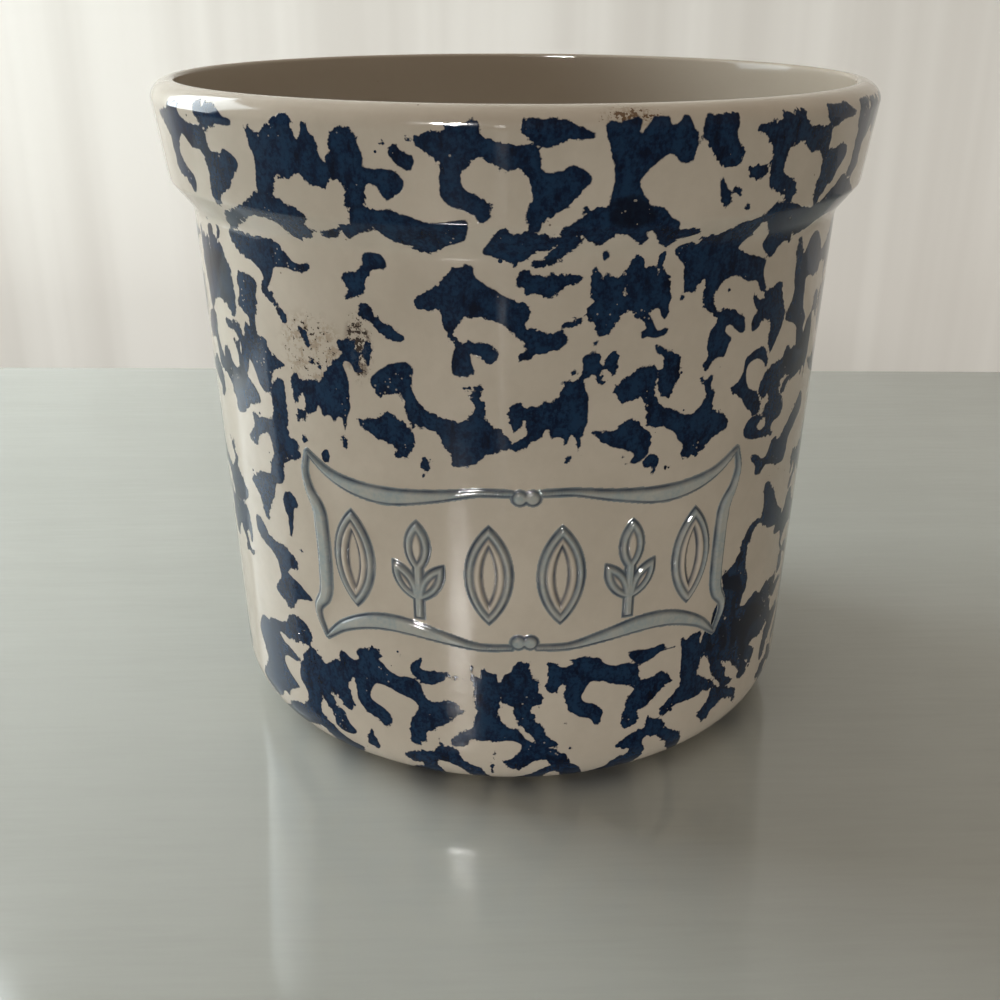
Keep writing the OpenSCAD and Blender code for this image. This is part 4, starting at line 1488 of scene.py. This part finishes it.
def relief_height(depth, scored):
    """Height of a raised patch, from the depth inside its shape and its scored line."""
    dip = SKIRT_H - (SKIRT_H + UNDER) * eased((-depth - SKIRT_LEVEL) / (SKIRT - SKIRT_LEVEL))
    raised = np.maximum(RELIEF_H * eased(depth / EDGE_RUN), SKIRT_H)
    return raised * (depth > 0) + dip * (depth <= 0) - GROOVE_DEPTH * scored


def kept_quads(keep):
    """Quads of a grid whose four points are kept, as indices into the grid."""
    rows, width = keep.shape
    cells = keep[:-1, :-1] & keep[1:, :-1] & keep[:-1, 1:] & keep[1:, 1:]
    start = (np.arange(rows - 1)[:, None] * width + np.arange(width - 1)[None])[cells]
    return np.stack([start, start + 1, start + width + 1, start + width], 1)


def closed_faces(quads, count):
    """The quads, the same ones below them, and a rim between the two."""
    edges = {(quad[k], quad[(k + 1) % 4]): True for quad in quads for k in range(4)}
    rim = [(a, b) for a, b in edges if (b, a) not in edges]
    faces = [tuple(q) for q in quads] + [tuple(q[::-1] + count) for q in quads]
    return faces + [(b, a, a + count, b + count) for a, b in rim]


def relief_patch(name, depth_at, low, high, step, groove, groove_depth_at):
    """A closed flat patch whose top follows a shape's depth; its skirt dips below the wall."""
    columns = np.arange(low[0], high[0] + step, step)
    rows = np.arange(low[1], high[1] + step, step)
    across, up = np.meshgrid(columns, rows)
    place = np.stack([across.ravel(), up.ravel()], 1)
    depth = depth_at(place)
    groove_depth = groove_depth_at(place)
    scored = bell(groove_depth, GROOVE_AT, GROOVE_W) * groove
    height = relief_height(depth, scored)
    used, packed = np.unique(kept_quads((depth > -SKIRT).reshape(across.shape)), return_inverse=True)
    count = len(used)
    top = np.column_stack([place[used], height[used]])
    under = np.column_stack([place[used], np.full(count, -UNDER)])
    obj = new_object(name, np.vstack([top, under]), (), closed_faces(packed.reshape(-1, 4), count))
    foot = bell(depth[used], FOOT_LINE_AT, FOOT_LINE_W)
    stored(obj.data, "pool", np.tile(np.clip(foot + GROOVE_WASH * scored[used], 0, 1), 2))
    film = 1 - groove * eased((groove_depth[used] - GROOVE_AT) / FILM_FADE)
    stored(obj.data, "film", np.tile(film, 2))
    return obj


# ---------------------------------------------------------------- building the crock

GLAZED = crock_glaze()
SLATE_LINE = (0.030, 0.046, 0.078)
FRAME_GLAZE = label_glaze("frame_wash", (0.29, 0.35, 0.365), SLATE_LINE)
FIGURE_GLAZE = label_glaze("figure_wash", (0.31, 0.36, 0.37), SLATE_LINE)
CLAY = dry_clay()


def volume_of(mesh):
    """Signed volume: above zero when the faces point outwards."""
    mesh.calc_loop_triangles()
    corners = np.empty(len(mesh.loop_triangles) * 3, np.int32)
    mesh.loop_triangles.foreach_get("vertices", corners)
    a, b, c = points_of(mesh)[corners].reshape(-1, 3, 3).transpose(1, 0, 2)
    return float((a * np.cross(b, c)).sum()) / 6


def face_outwards(obj):
    """Turns a closed piece's faces outwards."""
    if volume_of(obj.data) < 0:
        obj.data.flip_normals()


def stand_for(obj, node):
    """The piece replaces its CAD node and rides on the crock."""
    face_outwards(obj)
    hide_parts(node)
    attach(obj, "root")


def turn_piece(node, profile, finish, segments=SEGMENTS, sponged=True):
    """Turns one piece of the body and dabs the blue on it."""
    points = [(radius, 0, z) for radius, z in profile]
    chain = [(i, i + 1) for i in range(len(points) - 1)]
    obj = new_object("turned_" + node, points, chain)
    run_tree(obj, WHEEL, segments=segments, unevenness=UNEVENNESS, finish=finish)
    if sponged:
        sponge_on(obj.data)
    stand_for(obj, node)
    return obj


# How finely a patch is cut
STRIP_STEP = 0.25
FIGURE_STEP = 0.2


def lay_patch(node, depth_at, low, high, finish, along=0.0, step=STRIP_STEP, groove=0.0, outline=None):
    """Makes one raised patch and lays it on the wall."""
    obj = relief_patch("raised_" + node, depth_at, low, high, step, groove, outline or depth_at)
    run_tree(obj, LAY_ON_WALL, along=along * MM, finish=finish)
    stand_for(obj, node)
    return obj


def build_body():
    """The four turned pieces."""
    turn_piece("crock_wall", wall_profile(), GLAZED)
    turn_piece("crock_base", base_profile(), GLAZED)
    turn_piece("rim_collar", collar_profile(), GLAZED)
    turn_piece("foot_ring", foot_profile(), CLAY, FOOT_SEGMENTS, False)


PATCH_MARGIN = 1.2


def build_frame():
    """The frame's six strips and the two clasps between them."""
    for name, stations in (("top", TOP_STRIP), ("bottom", BOTTOM_STRIP), ("side", SIDE_STRIP)):
        along, up, widths = zip(*stations)
        half = max(widths) / 2 + PATCH_MARGIN
        for side, word in ((-1, "left"), (1, "right")):
            ends = sorted((side * (min(along) - half), side * (max(along) + half)))
            low = (ends[0], min(up) - half)
            high = (ends[1], max(up) + half)
            node = f"frame_{name}_{word}"
            lay_patch(node, in_strip(stations, side), low, high, FRAME_GLAZE)
    half_w = CLASP_W / 2
    half_h = CLASP_H / 2
    for word, y in (("top", CLASP_TOP_Y), ("bottom", CLASP_BOTTOM_Y)):
        low = (-half_w - PATCH_MARGIN, y - half_h - PATCH_MARGIN)
        high = (half_w + PATCH_MARGIN, y + half_h + PATCH_MARGIN)
        node = "frame_clasp_" + word
        lay_patch(node, in_clasp(y), low, high, FRAME_GLAZE, step=FIGURE_STEP)


# Each figure's shape, and its place along the row in pitches from the middle
FIGURES = {
    "figure_leaf_1": (in_leaf, -2.5),
    "figure_sprig_2": (in_sprig, -1.5),
    "figure_leaf_3": (in_leaf, -0.5),
    "figure_leaf_4": (in_leaf, 0.5),
    "figure_sprig_5": (in_sprig, 1.5),
    "figure_leaf_6": (in_leaf, 2.5),
}


def build_figures():
    """The row of raised figures inside the frame."""
    reach = (LEAF_W / 2 + 1, FIGURE_H / 2 + 1)
    low = (-reach[0], -reach[1])
    for node, (shape, place) in FIGURES.items():
        lay_patch(
            node, shape, low, reach, FIGURE_GLAZE,
            along=place * FIGURE_PITCH, step=FIGURE_STEP, groove=1.0,
            outline=in_leaf_outline if shape is in_leaf else None,
        )


# ---------------------------------------------------------------- table, backdrop, light and camera

TABLE_HALF = 1500
TABLE_BACK = 243
TABLE_SKEW = 53
CURTAIN_BEHIND = 130
CURTAIN_LOW = -600
CURTAIN_HIGH = 1200

CROCK_MIDDLE = (0, 0, 70)

CAMERA_DISTANCE = 273.3
CAMERA_HEIGHT = 158.2
CAMERA_ROUND = 2.3
CAMERA_TURN = 1.7
CAMERA_DOWN = 23.13
CAMERA_ROLL = 0.15
LENS = 43.92
SENSOR = 36


def flat_panel(name, corners, material):
    """One flat quad with a finish."""
    panel = new_object(name, corners, (), [(0, 1, 2, 3)])
    panel.data.materials.append(material)
    return panel


def build_stage():
    """A table top, a little skew to the view, and the cloth behind it."""
    half = TABLE_HALF
    back = TABLE_BACK + CURTAIN_BEHIND
    table = flat_panel("table", [
        (-half, -half, 0), (half, -half, 0),
        (half, TABLE_BACK - TABLE_SKEW, 0), (-half, TABLE_BACK + TABLE_SKEW, 0),
    ], table_top())
    curtain = flat_panel("backdrop", [
        (-half, back, CURTAIN_LOW), (half, back, CURTAIN_LOW),
        (half, back, CURTAIN_HIGH), (-half, back, CURTAIN_HIGH),
    ], curtain_cloth())


def soft_light(name, place, size, power, colour):
    """A rectangular light, in millimetres, turned to the crock."""
    data = bpy.data.lights.new(name, "AREA")
    data.shape = "RECTANGLE"
    data.size = size[0] * MM
    data.size_y = size[1] * MM
    data.energy = power
    data.color = colour
    obj = bpy.data.objects.new(name, data)
    bpy.context.scene.collection.objects.link(obj)
    start = Vector(place) * MM
    aim = Vector(CROCK_MIDDLE) * MM - start
    obj.location = start
    obj.rotation_euler = aim.to_track_quat("-Z", "Y").to_euler()
    obj.visible_camera = False
    return obj


def glint_light(name, place, size, power):
    """A far bright pane that only shows as a glint on gloss."""
    pane = soft_light(name, place, size, power, (1.0, 0.98, 0.95))
    pane.visible_diffuse = False


def build_lights():
    """Cool daylight from a window at the back left, and a weak warm room in front."""
    world = bpy.data.worlds.new("room")
    world.use_nodes = True
    sky = world.node_tree.nodes["Background"]
    sky.inputs["Color"].default_value = (1.0, 0.87, 0.73, 1)
    sky.inputs["Strength"].default_value = 0.35
    scene = bpy.context.scene
    scene.world = world
    scene.view_settings.view_transform = "Standard"
    soft_light("window_left", (-460, 320, 310), (600, 420), 7.5, (0.88, 0.97, 1.0))
    soft_light("ceiling", (-100, 0, 1400), (1400, 1400), 3.8, (1.0, 0.93, 0.84))
    glint_light("window_front", (-518, -1306, 818), (200, 150), 155)
    glint_light("door_gap", (-165, -1600, 560), (70, 400), 1.3)


def build_camera():
    """The view: a little above the rim, almost straight on."""
    data = bpy.data.cameras.new("camera")
    data.lens = LENS
    data.sensor_width = SENSOR
    camera = bpy.data.objects.new("camera", data)
    bpy.context.scene.collection.objects.link(camera)
    around = math.radians(CAMERA_ROUND)
    turn = math.radians(CAMERA_TURN)
    down = math.radians(CAMERA_DOWN)
    roll = math.radians(CAMERA_ROLL)
    forward = Vector((
        math.sin(turn) * math.cos(down), math.cos(turn) * math.cos(down), -math.sin(down),
    ))
    right = Vector((math.cos(turn), -math.sin(turn), 0))
    up = right.cross(forward)
    across = right * math.cos(roll) + up * math.sin(roll)
    upright = up * math.cos(roll) - right * math.sin(roll)
    spin = Matrix((across, upright, -forward)).transposed().to_4x4()
    stand = Vector((
        -CAMERA_DISTANCE * math.sin(around), -CAMERA_DISTANCE * math.cos(around), CAMERA_HEIGHT,
    )) * MM
    camera.matrix_world = Matrix.Translation(stand) @ spin
    bpy.context.scene.camera = camera


build_body()
build_frame()
build_figures()
build_stage()
build_lights()
build_camera()
